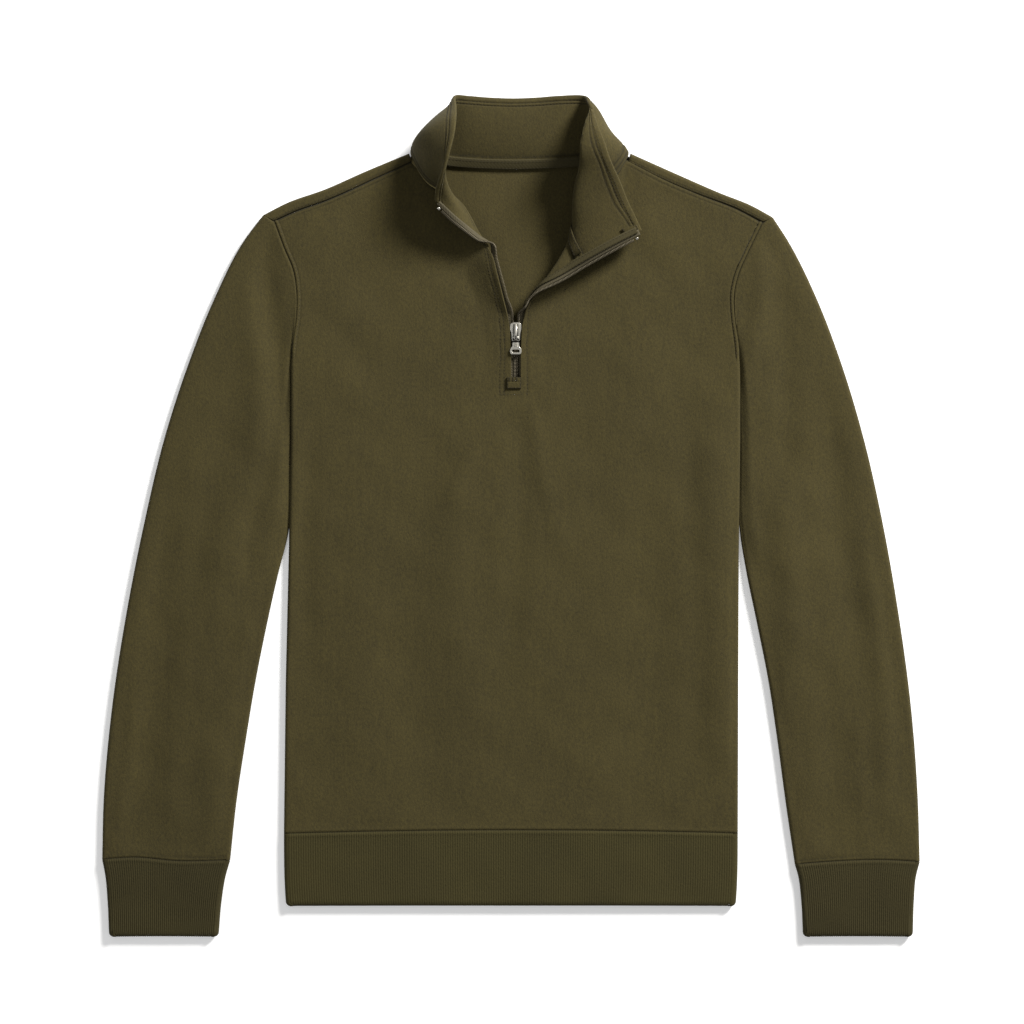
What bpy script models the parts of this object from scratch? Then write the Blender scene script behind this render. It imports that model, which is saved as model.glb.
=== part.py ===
"""A quarter zip sweater laid flat on its back, front up, with its collar opened.

Scene units are metres with +Z up. +X is the wearer's left, +Y runs from hem to collar, and z = 0 is
the surface the sweater lies on. Sizes and tables below are in millimetres. "right" and "left" are the
wearer's right (-X) and left (+X). Every cloth piece is a grid of points on the middle of its wall.
"""

import math

import bmesh
import bpy
import numpy as np
from mathutils import Vector

MM = 0.001

# Walls and gaps
WALL = 1.6  # brushed fleece
RIB_WALL = 2.6  # rib, doubled
COLLAR_WALL = 1.3  # each of the collar's two walls
COLLAR_HALF_GAP = 0.95  # from the collar's middle to the middle of either wall
TRIM_WALL = 1.0  # tapes, facing and patch
SEAM = 0.35  # between two pieces that are sewn together
CURVED_SEAM = 0.7  # the same where both edges curve
ARMHOLE_SEAM = 0.6  # wider, for the facets of a curved seam
UNDERARM_SEAM = 1.6  # to the middle of the sleeve's wall, where it folds against the body
UNDERARM_SLACK = 0.5  # taken off the height of both side edges where they meet the sleeve
BODY_THICK = 6.8  # back and front together at the side folds
RIB_THICK = 7.6  # hem band and cuffs, flattened
COLLAR_HALF = COLLAR_HALF_GAP + COLLAR_WALL / 2

# Places on the body
CENTRE_X = 4.95  # the zip
HEM_SEAM_Y = -295.4
HEM_SAG = 3.0  # the hem seam's ends lie this much lower than its middle
HEM_BOTTOM_Y = -365.6
HEM_DRAW_IN = 2.0  # the hem band is this much narrower at each side of its lower edge
CUFF_BOTTOM_Y = -394.3
SLIT_LOW_Y = 119.7
TOP_MID = BODY_THICK - WALL / 2
BACK_MID = WALL / 2
FOLD_MID = BODY_THICK / 2
FOLD_RADIUS = FOLD_MID - WALL / 2
ROLL_UPRIGHT = 0.8  # the straight stretch of a side edge next to its seam

# Grid steps
LOW_ROWS, UP_ROWS = 5, 8  # hem to underarm, underarm to shoulder
LEAF_COLUMNS, NECK_COLUMNS, SHOULDER_COLUMNS, ROLL_COLUMNS = 4, 3, 5, 3
BACK_NECK_COLUMNS = 12
WRAP_ROWS = 5
FOLD_STEPS = 4
SLEEVE_ROWS = 9
COLLAR_COLUMNS = 36
HEM_COLUMNS = 10
RIB_ROWS = 3

SIGN = {"right": -1, "left": 1}  # of x


def table(names, *rows):
    """The rows as one array for each named column."""
    return dict(zip(names.split(), np.array(rows, float).T))


def points(rows, *names):
    """The named columns side by side, one point a row."""
    return np.stack([rows[name] for name in names], axis=1)


SIDES = table(
    "y right left",
    (-298.4, -212.7, 213.4),
    (-154.6, -211.0, 213.8),
    (-37.1, -208.2, 214.3),
    (71.0, -206.3, 215.7),
    (141.5, -206.3, 215.7),
)
ARMHOLES = table(  # underarm to the end of the shoulder seam, which lies on the front
    "right_x right_y left_x left_y",
    (-206.3, 141.5, 215.7, 141.5),
    (-204.6, 163.1, 214.0, 162.3),
    (-201.8, 183.8, 210.6, 188.3),
    (-200.9, 206.3, 210.0, 208.1),
    (-203.9, 229.8, 213.8, 226.1),
    (-212.5, 251.3, 223.2, 247.7),
    (-221.9, 276.8, 236.8, 275.6),
)
BACK_ARMHOLE_EASE = 5.0  # the back armhole is this much shallower
SHOULDER_FOLDS = table(  # neck to sleeve
    "right_x right_y left_x left_y",
    (-93.9, 340.5, 111.3, 340.5),
    (-135.5, 323.3, 159.3, 319.1),
    (-175.1, 305.8, 197.9, 302.2),
    (-210.7, 293.0, 226.1, 290.9),
    (-232.5, 281.7, 246.4, 279.7),
)
SHOULDER_SEAMS = table(
    "right_x right_y left_x left_y",
    (-91.4, 332.8, 108.9, 332.2),
    (-122.4, 318.6, 140.5, 316.3),
    (-175.1, 295.2, 178.1, 300.8),
    (-201.5, 286.0, 211.0, 288.6),
    (-221.9, 276.8, 236.8, 275.6),
)
SLEEVE_OUTERS = table(
    "right_x right_y left_x left_y",
    (-232.5, 281.7, 246.4, 279.7),
    (-249.6, 259.0, 259.9, 259.0),
    (-278.7, 202.6, 288.1, 202.6),
    (-301.3, 146.2, 309.7, 146.2),
    (-325.7, 71.0, 332.3, 71.0),
    (-343.6, -4.2, 349.2, -4.2),
    (-359.5, -84.1, 363.3, -84.1),
    (-374.6, -182.8, 376.5, -182.8),
    (-382.1, -267.4, 382.6, -267.4),
    (-383.4, -322.6, 384.2, -325.0),
)
SLEEVE_INNERS = table(
    "right_x right_y left_x left_y",
    (-206.3, 141.5, 215.7, 141.5),
    (-208.2, 100.0, 217.4, 100.0),
    (-208.6, 61.6, 217.6, 61.6),
    (-210.0, -13.6, 217.4, -13.6),
    (-218.5, -55.9, 222.3, -55.9),
    (-227.9, -98.2, 230.8, -98.2),
    (-239.2, -154.6, 242.0, -154.6),
    (-248.6, -211.0, 250.5, -211.0),
    (-257.1, -267.4, 258.0, -267.4),
    (-263.2, -323.5, 266.9, -327.4),
)
CUFF_SEAMS = table(  # outer fold to inner fold
    "right_x right_y left_x left_y",
    (-383.4, -322.6, 384.2, -325.0),
    (-353.9, -320.9, 351.1, -323.3),
    (-312.5, -324.2, 297.5, -325.0),
    (-263.2, -323.5, 266.9, -327.4),
)
CUFF_EDGES = table(  # seam to bottom, outer fold and inner fold
    "y right_outer right_inner left_outer left_inner",
    (-325.0, -383.2, -263.5, 384.0, 267.0),
    (-338.0, -380.4, -267.4, 380.8, 270.0),
    (-361.4, -378.3, -271.2, 378.7, 272.9),
    (CUFF_BOTTOM_Y, -376.9, -274.0, 377.7, 274.5),
)
LEAVES = {  # where a leaf starts to lift, the crest it bends over and its edge, window end to neck
    "right": table(
        "base_x base_y crest_x crest_y crest_z edge_x edge_y edge_z",
        (-22.1, 119.7, -10.8, 119.7, 6.2, 0.6, 119.7, 6.4),
        (-22.1, 160.2, -10.8, 160.2, 7.4, 0.1, 160.2, 8.4),
        (-25.8, 181.8, -12.7, 181.6, 7.8, -1.6, 181.4, 8.6),
        (-32.4, 204.4, -18.3, 202.9, 9.0, -6.5, 201.7, 13.0),
        (-41.8, 226.1, -25.8, 224.4, 10.0, -13.1, 226.8, 15.0),
        (-48.0, 249.6, -32.2, 245.0, 11.0, -17.3, 241.8, 15.0),
        (-46.5, 289.0, -34.0, 271.0, 11.0, -22.0, 251.2, 14.0),
    ),
    "left": table(
        "base_x base_y crest_x crest_y crest_z edge_x edge_y edge_z",
        (32.4, 119.7, 20.2, 119.7, 6.2, 9.3, 119.7, 6.4),
        (32.4, 160.2, 20.2, 160.2, 7.4, 9.8, 160.2, 8.4),
        (39.0, 185.6, 22.0, 184.2, 7.8, 11.5, 181.4, 8.6),
        (43.7, 203.5, 16.4, 198.2, 10.0, 18.3, 198.8, 14.0),
        (57.8, 218.5, 27.6, 213.9, 12.0, 29.4, 212.1, 18.0),
        (70.0, 244.9, 40.7, 237.2, 14.0, 45.3, 221.9, 19.0),
        (78.5, 289.1, 53.8, 263.3, 15.0, 62.6, 232.2, 18.0),
    ),
}
COLLAR = table(  # from the wearer's right front edge round the back: seam, two bend controls, top edge
    "seam_x seam_y seam_z low_x low_y low_z high_x high_y high_z top_x top_y top_z",
    (-21.0, 251.3, 13.5, -35.3, 260.6, 20.5, -51.3, 274.4, 27.3, -69.2, 292.7, 34.0),
    (-30.0, 264.5, 11.0, -41.7, 272.8, 21.7, -54.5, 285.1, 30.7, -68.6, 301.2, 38.0),
    (-37.0, 278.0, 9.5, -49.0, 286.0, 24.5, -58.4, 297.2, 36.3, -65.3, 311.6, 45.0),
    (-45.5, 291.0, 9.0, -56.8, 297.7, 27.7, -62.2, 308.4, 41.7, -61.5, 323.2, 51.0),
    (-60.0, 303.0, 9.0, -68.0, 309.7, 31.0, -67.0, 320.8, 46.0, -57.1, 336.5, 54.0),
    (-79.4, 315.4, 8.5, -82.5, 325.1, 30.8, -73.8, 337.2, 45.3, -53.4, 351.5, 52.0),
    (-92.5, 340.2, 5.0, -92.0, 351.4, 24.3, -78.4, 360.4, 37.3, -51.7, 367.3, 44.0),
    (-77.5, 333.9, 2.4, -79.9, 362.2, 6.8, -71.3, 377.7, 15.3, -51.7, 380.4, 28.0),
    (-58.7, 329.7, 1.8, -61.2, 352.2, 5.3, -58.9, 372.8, 9.0, -52.0, 391.6, 13.0),
    (-42.7, 328.3, 1.8, -43.9, 349.5, 7.9, -42.6, 370.6, 10.7, -38.9, 391.6, 10.0),
    (-22.5, 327.4, 1.8, -22.8, 347.8, 9.3, -22.3, 368.8, 11.7, -21.1, 390.3, 9.0),
    (2.3, 326.9, 1.8, 2.3, 347.6, 9.9, 2.3, 368.4, 12.3, 2.3, 389.4, 9.0),
    (27.2, 327.4, 1.8, 27.5, 347.8, 9.3, 27.0, 368.8, 11.7, 25.8, 390.3, 9.0),
    (47.4, 328.3, 1.8, 48.6, 349.5, 7.9, 47.3, 370.6, 10.7, 43.6, 391.6, 10.0),
    (69.0, 329.7, 1.8, 72.7, 352.2, 5.3, 72.5, 372.8, 9.0, 68.3, 391.6, 13.0),
    (90.6, 333.9, 2.4, 96.0, 362.0, 8.0, 79.0, 385.0, 22.0, 73.5, 383.0, 29.0),
    (109.3, 340.2, 5.0, 107.0, 352.0, 24.0, 49.0, 369.0, 44.0, 79.0, 364.5, 37.0),
    (101.7, 323.9, 8.0, 92.0, 335.0, 38.0, 37.0, 343.0, 44.0, 85.5, 347.0, 40.0),
    (90.4, 306.9, 9.0, 54.6, 315.0, 27.0, 54.9, 322.7, 36.7, 91.4, 330.0, 38.0),
    (76.4, 288.1, 10.0, 47.5, 294.0, 26.0, 55.3, 302.0, 33.3, 100.0, 312.0, 32.0),
    (63.2, 271.9, 12.5, 50.5, 280.6, 26.2, 65.3, 288.0, 30.7, 107.6, 294.0, 26.0),
    (55.6, 255.7, 16.5, 64.1, 266.2, 24.8, 84.0, 273.8, 26.7, 115.2, 278.6, 22.0),
    (63.1, 233.1, 19.0, 81.0, 244.0, 23.0, 100.5, 254.9, 22.7, 121.5, 265.8, 18.0),
)
STATIONS = len(COLLAR["seam_x"]) - 1
# Collar stations: front edge, end of the leaf's base, end of the shoulder seam, shoulder fold
NECK_STATIONS = {
    "right": {"edge": 0, "base": 3, "seam": 5.6, "fold": 6},
    "left": {"edge": STATIONS, "base": STATIONS - 3, "seam": STATIONS - 5.6, "fold": STATIONS - 6},
}
NECK_TAPE = (7.4, STATIONS - 7.4)
SLEEVE_FOLDS = table(  # across from the outer fold, share of the length from and to, half width, rise
    "across start end half_width rise",
    (0.70, 0.02, 0.75, 0.13, -0.9),
    (0.42, 0.05, 0.55, 0.14, 0.7),
    (0.45, 0.55, 0.98, 0.16, -0.7),
)
BODY_FOLDS = table(  # soft ridges and troughs of the front
    "x low_y high_y half_width height",
    (173.0, -240.0, 130.0, 16.0, -0.9),
    (-48.0, -190.0, 130.0, 22.0, 0.7),
)

# Zip
TAPE_DROP = COLLAR_HALF + 0.5 + TRIM_WALL / 2  # middle of the tape under the middle of the cloth
FACING_DROP = TAPE_DROP + TRIM_WALL + 0.6
TAPE_HIDDEN = 3.0
TEETH_SPREAD = 1.7  # each row moves out this much where the slider parts them
OPEN_REACH = 4.3  # the middle of an open row lies this far beyond the cloth's edge
CHAIN_HALF_WIDTH = 1.25
CHAIN_THICK = 2.0
ZIP_STEPS = 22
CHAIN_END = 0.965  # shares of a strip's way from the window to the collar's top
STOP_SPAN = (0.971, 0.985)
FACING_SPAN = (0.36, 0.99)
FACING_COLUMNS = (-6.5, -3.4, -0.4)
SLIDER_LOW_Y, SLIDER_HIGH_Y = 163.6, 181.0
EDGE_AT_SLIDER_Z = 8.5
CHAIN_MID_Z = EDGE_AT_SLIDER_Z - TAPE_DROP
LEAF_SAMPLES = 17
CORNER_EASE = 1.3  # the strips lie this much deeper where they pass the neck seam
TEETH_TO_TAPE = 0.8
SLIDER_HALF = [(0.0, 2.6), (0.12, 3.8), (0.5, 4.6), (0.7, 5.3), (0.8, 5.3), (0.92, 4.4), (1.0, 2.6)]
PLATE_THICK = 0.9
PLATE_GAP = 2.8  # between the slider's two plates
BRIDGE_WIDTH = 2.2
BRIDGE_RISE = 3.1  # clear height under the bridge
BRIDGE_THICK = 0.9
HINGE_Y = 166.9
HINGE_RADIUS = 0.7
HINGE_Z = CHAIN_MID_Z + PLATE_GAP / 2 + PLATE_THICK + 1.2 + HINGE_RADIUS
PULL_THICK = 1.3
PULL_LOW_Y = 151.0
PULL_EYE_LOW_Y = 162.5
PULL_NECK_HALF = 3.1
PULL_WIDE_HALF = 5.2
WEDGE_LOW_Y = 175.0
WEDGE_HALF = 1.2
STOP_THICK = 2.6
PATCH_WALL = 1.2
PATCH_RIGHT_X, PATCH_LEFT_X = -3.3, 9.9
PATCH_LOW_Y, PATCH_HIGH_Y = 119.0, 129.7

OLIVE = (0.074, 0.058, 0.026)
OLIVE_DARK = (0.049, 0.041, 0.019)
OLIVE_INSIDE = (0.070, 0.055, 0.025)
TAPE_GREY = (0.085, 0.078, 0.055)
GUNMETAL = (0.13, 0.12, 0.10)
NICKEL = (0.62, 0.61, 0.58)


def curve(rows, even=False):
    """A smooth line through the rows as a function of 0 to 1, along its length or evenly by row."""
    rows = np.asarray(rows, float)
    steps = np.linalg.norm(np.diff(rows, axis=0), axis=1)
    if even:
        steps = np.ones(len(rows) - 1)
    at = np.concatenate([[0.0], np.cumsum(steps)]) / steps.sum()
    slopes = np.gradient(rows, at, axis=0)

    def place(share):
        share = min(max(share, 0.0), 1.0)
        i = min(int(np.searchsorted(at, share, side="right")) - 1, len(at) - 2)
        step = at[i + 1] - at[i]
        s = (share - at[i]) / step
        rise = s * s * (3 - 2 * s)
        return (
            rows[i] * (1 - rise)
            + rows[i + 1] * rise
            + slopes[i] * step * s * (1 - s) ** 2
            - slopes[i + 1] * step * s * s * (1 - s)
        )

    return place


def length(place, steps=40):
    """The length of a line, by its chords."""
    spots = np.array([place(k / steps) for k in range(steps + 1)])
    return float(np.linalg.norm(np.diff(spots, axis=0), axis=1).sum())


def patch(low, high, start, end, u, v):
    """A point of the surface between four lines: low and high run along u, start and end along v."""
    return (
        (1 - v) * low(u)
        + v * high(u)
        + (1 - u) * start(v)
        + u * end(v)
        - (1 - u) * (1 - v) * low(0)
        - u * (1 - v) * low(1)
        - (1 - u) * v * high(0)
        - u * v * high(1)
    )


def unit(vector):
    return vector / max(np.linalg.norm(vector), 1e-9)


def soft_step(value):
    value = min(max(value, 0.0), 1.0)
    return value * value * (3 - 2 * value)


def side_points(rows, side):
    return points(rows, side + "_x", side + "_y")


def hem_y(x):
    return HEM_SEAM_Y - HEM_SAG * ((x - CENTRE_X) / 210) ** 2


def side_line(side):
    return curve(np.stack([SIDES[side], SIDES["y"]], axis=1))


NECK_EASE = 0.008  # the shoulder's neck end keeps this share of its length from the collar
TIP_SHARE = FOLD_MID / length(curve(side_points(SHOULDER_FOLDS, "right")))
SEAM_POINT = curve(points(COLLAR, "seam_x", "seam_y", "seam_z"), even=True)
LOW_POINT = curve(points(COLLAR, "low_x", "low_y", "low_z"), even=True)
HIGH_POINT = curve(points(COLLAR, "high_x", "high_y", "high_z"), even=True)
TOP_POINT = curve(points(COLLAR, "top_x", "top_y", "top_z"), even=True)


def collar_point(station, share):
    """The collar's middle surface: station along the neck seam, share from the seam to the top edge."""
    along = station / STATIONS
    rest = 1 - share
    foot = rest**3 * SEAM_POINT(along) + 3 * rest**2 * share * LOW_POINT(along)
    return foot + 3 * rest * share**2 * HIGH_POINT(along) + share**3 * TOP_POINT(along)


def collar_normal(station, share):
    """Out of the wearer's neck, square to the collar."""
    near, far = max(station - 0.1, 0), min(station + 0.1, STATIONS)
    low, high = max(share - 0.05, 0), min(share + 0.05, 1)
    along = collar_point(far, share) - collar_point(near, share)
    up = collar_point(station, high) - collar_point(station, low)
    return unit(np.cross(up, along))


def trim_to_collar(rows, stations, row):
    """Draws this row of a panel back from the neck seam, so that it stays clear of the collar's foot."""
    last, before = rows[:, row].copy(), rows[:, row - 1]
    for i, station in enumerate(stations):
        if station is None:
            continue
        along = unit(last[min(i + 1, len(last) - 1)] - last[max(i - 1, 0)])
        back = before[i] - last[i]
        away = unit(back - along * np.dot(back, along))
        foot = unit(LOW_POINT(station / STATIONS) - SEAM_POINT(station / STATIONS))
        gap = CURVED_SEAM + COLLAR_HALF * np.linalg.norm(np.cross(foot, away))
        rows[i, row] = last[i] + away * gap


# ---------------------------------------------------------------------------------------- objects


def material(name, colour, roughness, metallic=0.0):
    made = bpy.data.materials.new(name)
    made.use_nodes = True
    shader = made.node_tree.nodes["Principled BSDF"]
    shader.inputs["Base Color"].default_value = (*colour, 1.0)
    shader.inputs["Roughness"].default_value = roughness
    shader.inputs["Metallic"].default_value = metallic
    return made


def add_object(name, bm, finish, origin=(0.0, 0.0, 0.0)):
    """Makes the bmesh, which is in metres, an object whose origin is at origin."""
    bmesh.ops.translate(bm, vec=-Vector(origin), verts=bm.verts)
    mesh = bpy.data.meshes.new(name)
    bm.to_mesh(mesh)
    bm.free()
    mesh.shade_smooth()
    mesh.set_sharp_from_angle(angle=math.radians(50))
    made = bpy.data.objects.new(name, mesh)
    made.location = origin
    made.data.materials.append(material("mat_" + name, *finish))
    bpy.context.scene.collection.objects.link(made)
    return made


def cloth(name, rows, wall, finish, left_out=None, ring=False):
    """A piece of cloth from its grid of points [column, row] in mm, with half its wall on each side."""
    columns, steps = rows.shape[0] - 1, rows.shape[1] - 1
    bm = bmesh.new()
    bmesh.ops.create_grid(bm, x_segments=columns, y_segments=steps, size=0.5)
    if left_out:
        gone = []
        for face in bm.faces:
            centre = face.calc_center_median()
            if left_out(int((centre.x + 0.5) * columns), int((centre.y + 0.5) * steps)):
                gone.append(face)
        bmesh.ops.delete(bm, geom=gone, context="FACES")
    for vertex in bm.verts:
        i = round((vertex.co.x + 0.5) * columns)
        j = round((vertex.co.y + 0.5) * steps)
        vertex.co = Vector(rows[i, j]) * MM
    if ring:
        bmesh.ops.remove_doubles(bm, verts=bm.verts, dist=1e-7)
    made = add_object(name, bm, finish)
    made.modifiers.new("wall", "SOLIDIFY")
    made.modifiers["wall"].thickness = wall * MM
    made.modifiers["wall"].offset = 0.0
    made.modifiers["wall"].use_even_offset = False
    return made


# ------------------------------------------------------------------------------------------ front


def side_roll(side, k, rising, slack=0.0):
    """The step from the flat of a panel to column k of its rolled side edge, which ends upright."""
    radius = FOLD_RADIUS - ROLL_UPRIGHT
    angle = math.pi / 2 * min(k / (ROLL_COLUMNS - 1), 1.0)
    fall = radius * (1 - math.cos(angle))
    if k == ROLL_COLUMNS:
        fall = FOLD_RADIUS - SEAM / 2 - slack
    reach = radius * math.sin(angle) + (FOLD_RADIUS - radius) * min(k, 1)
    return np.array([SIGN[side] * reach, 0.0, fall * rising])


def armhole_step(side, k):
    """The same for the rows along the armhole, where the panel stays flat to its edge."""
    return np.array([SIGN[side] * FOLD_MID * k / ROLL_COLUMNS, 0.0, 0.0])


def body_relief(x, y):
    """Height of the front's soft ridges and troughs."""
    height = 0.0
    for at, low, high, half, rise in zip(*BODY_FOLDS.values()):
        ends = soft_step((y - low) / 90) * soft_step((high - y) / 90)
        height += rise * ends * math.exp(-(((x - at) / half) ** 2))
    return height


def leaf_lines(side):
    leaf = LEAVES[side]
    base = curve(points(leaf, "base_x", "base_y"))
    crest = curve(points(leaf, "crest_x", "crest_y", "crest_z"))
    edge = curve(points(leaf, "edge_x", "edge_y", "edge_z"))
    return base, crest, edge


def front_half(side):
    """The half's points [column, row] from the slit's edge to the side, hem to shoulder."""
    sign, stations = SIGN[side], NECK_STATIONS[side]
    base, crest, edge = leaf_lines(side)
    sides = side_line(side)
    armhole = curve(side_points(ARMHOLES, side))
    seam = curve(side_points(SHOULDER_SEAMS, side))
    inset = np.array([-sign * FOLD_MID, 0.0])
    rows_all = LOW_ROWS + UP_ROWS
    split = LOW_ROWS / rows_all
    inner_low = np.array([base(0)[0], hem_y(base(0)[0])])
    outer_low = np.array([sides(0)[0] + inset[0], hem_y(sides(0)[0])])

    def inner(v):
        if v < split:
            return inner_low + (base(0) - inner_low) * v / split
        return base((v - split) / (1 - split))

    def outer(v):
        if v < split:
            y = outer_low[1] + (sides(1)[1] - outer_low[1]) * v / split
            return np.array([np.interp(y, SIDES["y"], SIDES[side]), y]) + inset
        return armhole((v - split) / (1 - split)) + inset

    neck_share = NECK_COLUMNS / (NECK_COLUMNS + SHOULDER_COLUMNS)

    def neck_height(u):
        if u < neck_share:
            station = stations["base"] + (stations["seam"] - stations["base"]) * u / neck_share
            return SEAM_POINT(station / STATIONS)[2]
        end = SEAM_POINT(stations["seam"] / STATIONS)[2]
        return end + (TOP_MID - end) * soft_step((u - neck_share) * 3)

    def top(u):
        if u < neck_share:
            station = stations["base"] + (stations["seam"] - stations["base"]) * u / neck_share
            return SEAM_POINT(station / STATIONS)[:2]
        share = (u - neck_share) / (1 - neck_share)
        if share < 1e-6:
            return SEAM_POINT(stations["seam"] / STATIONS)[:2]
        end = seam(1 - TIP_SHARE)
        return seam(share * (1 - TIP_SHARE)) + (outer(1) - end) * share

    def low(u):
        x = inner_low[0] + (outer_low[0] - inner_low[0]) * u
        return np.array([x, hem_y(x)])

    def ground(u, v):
        """The part of the half beyond the leaf: place on the plan, then height."""
        x, y = patch(low, top, inner, outer, u, v)
        lift = soft_step((v - 0.62) / 0.38) ** 2 * (neck_height(u) - TOP_MID)
        return np.array([x, y, TOP_MID + body_relief(x, y) + lift])

    def leaf(w, v):
        """The part of the half that lifts: w from the edge to the base."""
        height = ground(0, v)[2]
        if v < split:
            x = edge(0)[0] + (base(0)[0] - edge(0)[0]) * w
            y = hem_y(x) + (SLIT_LOW_Y - hem_y(x)) * v / split
            lift = (edge(0)[2] - TOP_MID) * (1 - w) ** 2 * soft_step(v / split)
            return np.array([x, y, height + lift])
        t = (v - split) / (1 - split)
        foot = np.array([*base(t), height])
        spot = (1 - w) ** 2 * edge(t) + 2 * w * (1 - w) * crest(t) + w * w * foot
        end_foot = np.array([*base(1), ground(0, 1)[2]])
        end = (1 - w) ** 2 * edge(1) + 2 * w * (1 - w) * crest(1) + w * w * end_foot
        station = stations["edge"] + (stations["base"] - stations["edge"]) * w
        return spot + t**3 * (SEAM_POINT(station / STATIONS) - end)

    ground_columns = NECK_COLUMNS + SHOULDER_COLUMNS
    columns = LEAF_COLUMNS + ground_columns + ROLL_COLUMNS
    rows = np.zeros((columns + 1, rows_all + 1, 3))
    for j in range(rows_all + 1):
        v = j / rows_all
        for i in range(LEAF_COLUMNS):
            rows[i, j] = leaf(i / LEAF_COLUMNS, v)
        for i in range(ground_columns + 1):
            rows[LEAF_COLUMNS + i, j] = ground(i / ground_columns, v)
        start = rows[LEAF_COLUMNS + ground_columns, j]
        for k in range(1, ROLL_COLUMNS + 1):
            slack = UNDERARM_SLACK if j == LOW_ROWS else 0.0
            step = side_roll(side, k, -1, slack) if j <= LOW_ROWS else armhole_step(side, k)
            rows[LEAF_COLUMNS + ground_columns + k, j] = start + step
    neck_stations = [None] * (columns + 1)
    for i in range(LEAF_COLUMNS + NECK_COLUMNS + 1):
        share = i / LEAF_COLUMNS
        if i <= LEAF_COLUMNS:
            neck_stations[i] = stations["edge"] + (stations["base"] - stations["edge"]) * share
        else:
            share = (i - LEAF_COLUMNS) / NECK_COLUMNS
            neck_stations[i] = stations["base"] + (stations["seam"] - stations["base"]) * share
    trim_to_collar(rows, neck_stations, rows_all)
    corner = LEAF_COLUMNS + NECK_COLUMNS
    rows[corner, -1, :2] += seam(0) - SEAM_POINT(stations["seam"] / STATIONS)[:2]
    for i in range(corner, columns + 1):
        rows[i, -1] += unit(rows[i, -2] - rows[i, -1]) * CURVED_SEAM
    return rows


FRONT_HALVES = {side: front_half(side) for side in SIGN}


def front_panel():
    rows = np.concatenate([FRONT_HALVES["right"][::-1], FRONT_HALVES["left"]])
    middle = len(FRONT_HALVES["right"]) - 1

    def slit(i, j):
        return i == middle and j >= LOW_ROWS

    cloth("front_panel", rows, WALL, (OLIVE, 0.92), left_out=slit)


# ------------------------------------------------------------------------------------------- back


def back_armhole(side):
    """Underarm to the start of the shoulder fold, a little shallower than the front's."""
    front = side_points(ARMHOLES, side)
    fold = curve(side_points(SHOULDER_FOLDS, side))(1)
    seam = front[-1]
    rows = front.copy()
    rows[-1] = fold + unit(seam - fold) * FOLD_MID
    shares = np.linspace(0, 1, len(rows))
    rows[:, 0] += SIGN[side] * BACK_ARMHOLE_EASE * np.sin(math.pi * shares)
    return curve(rows)


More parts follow.
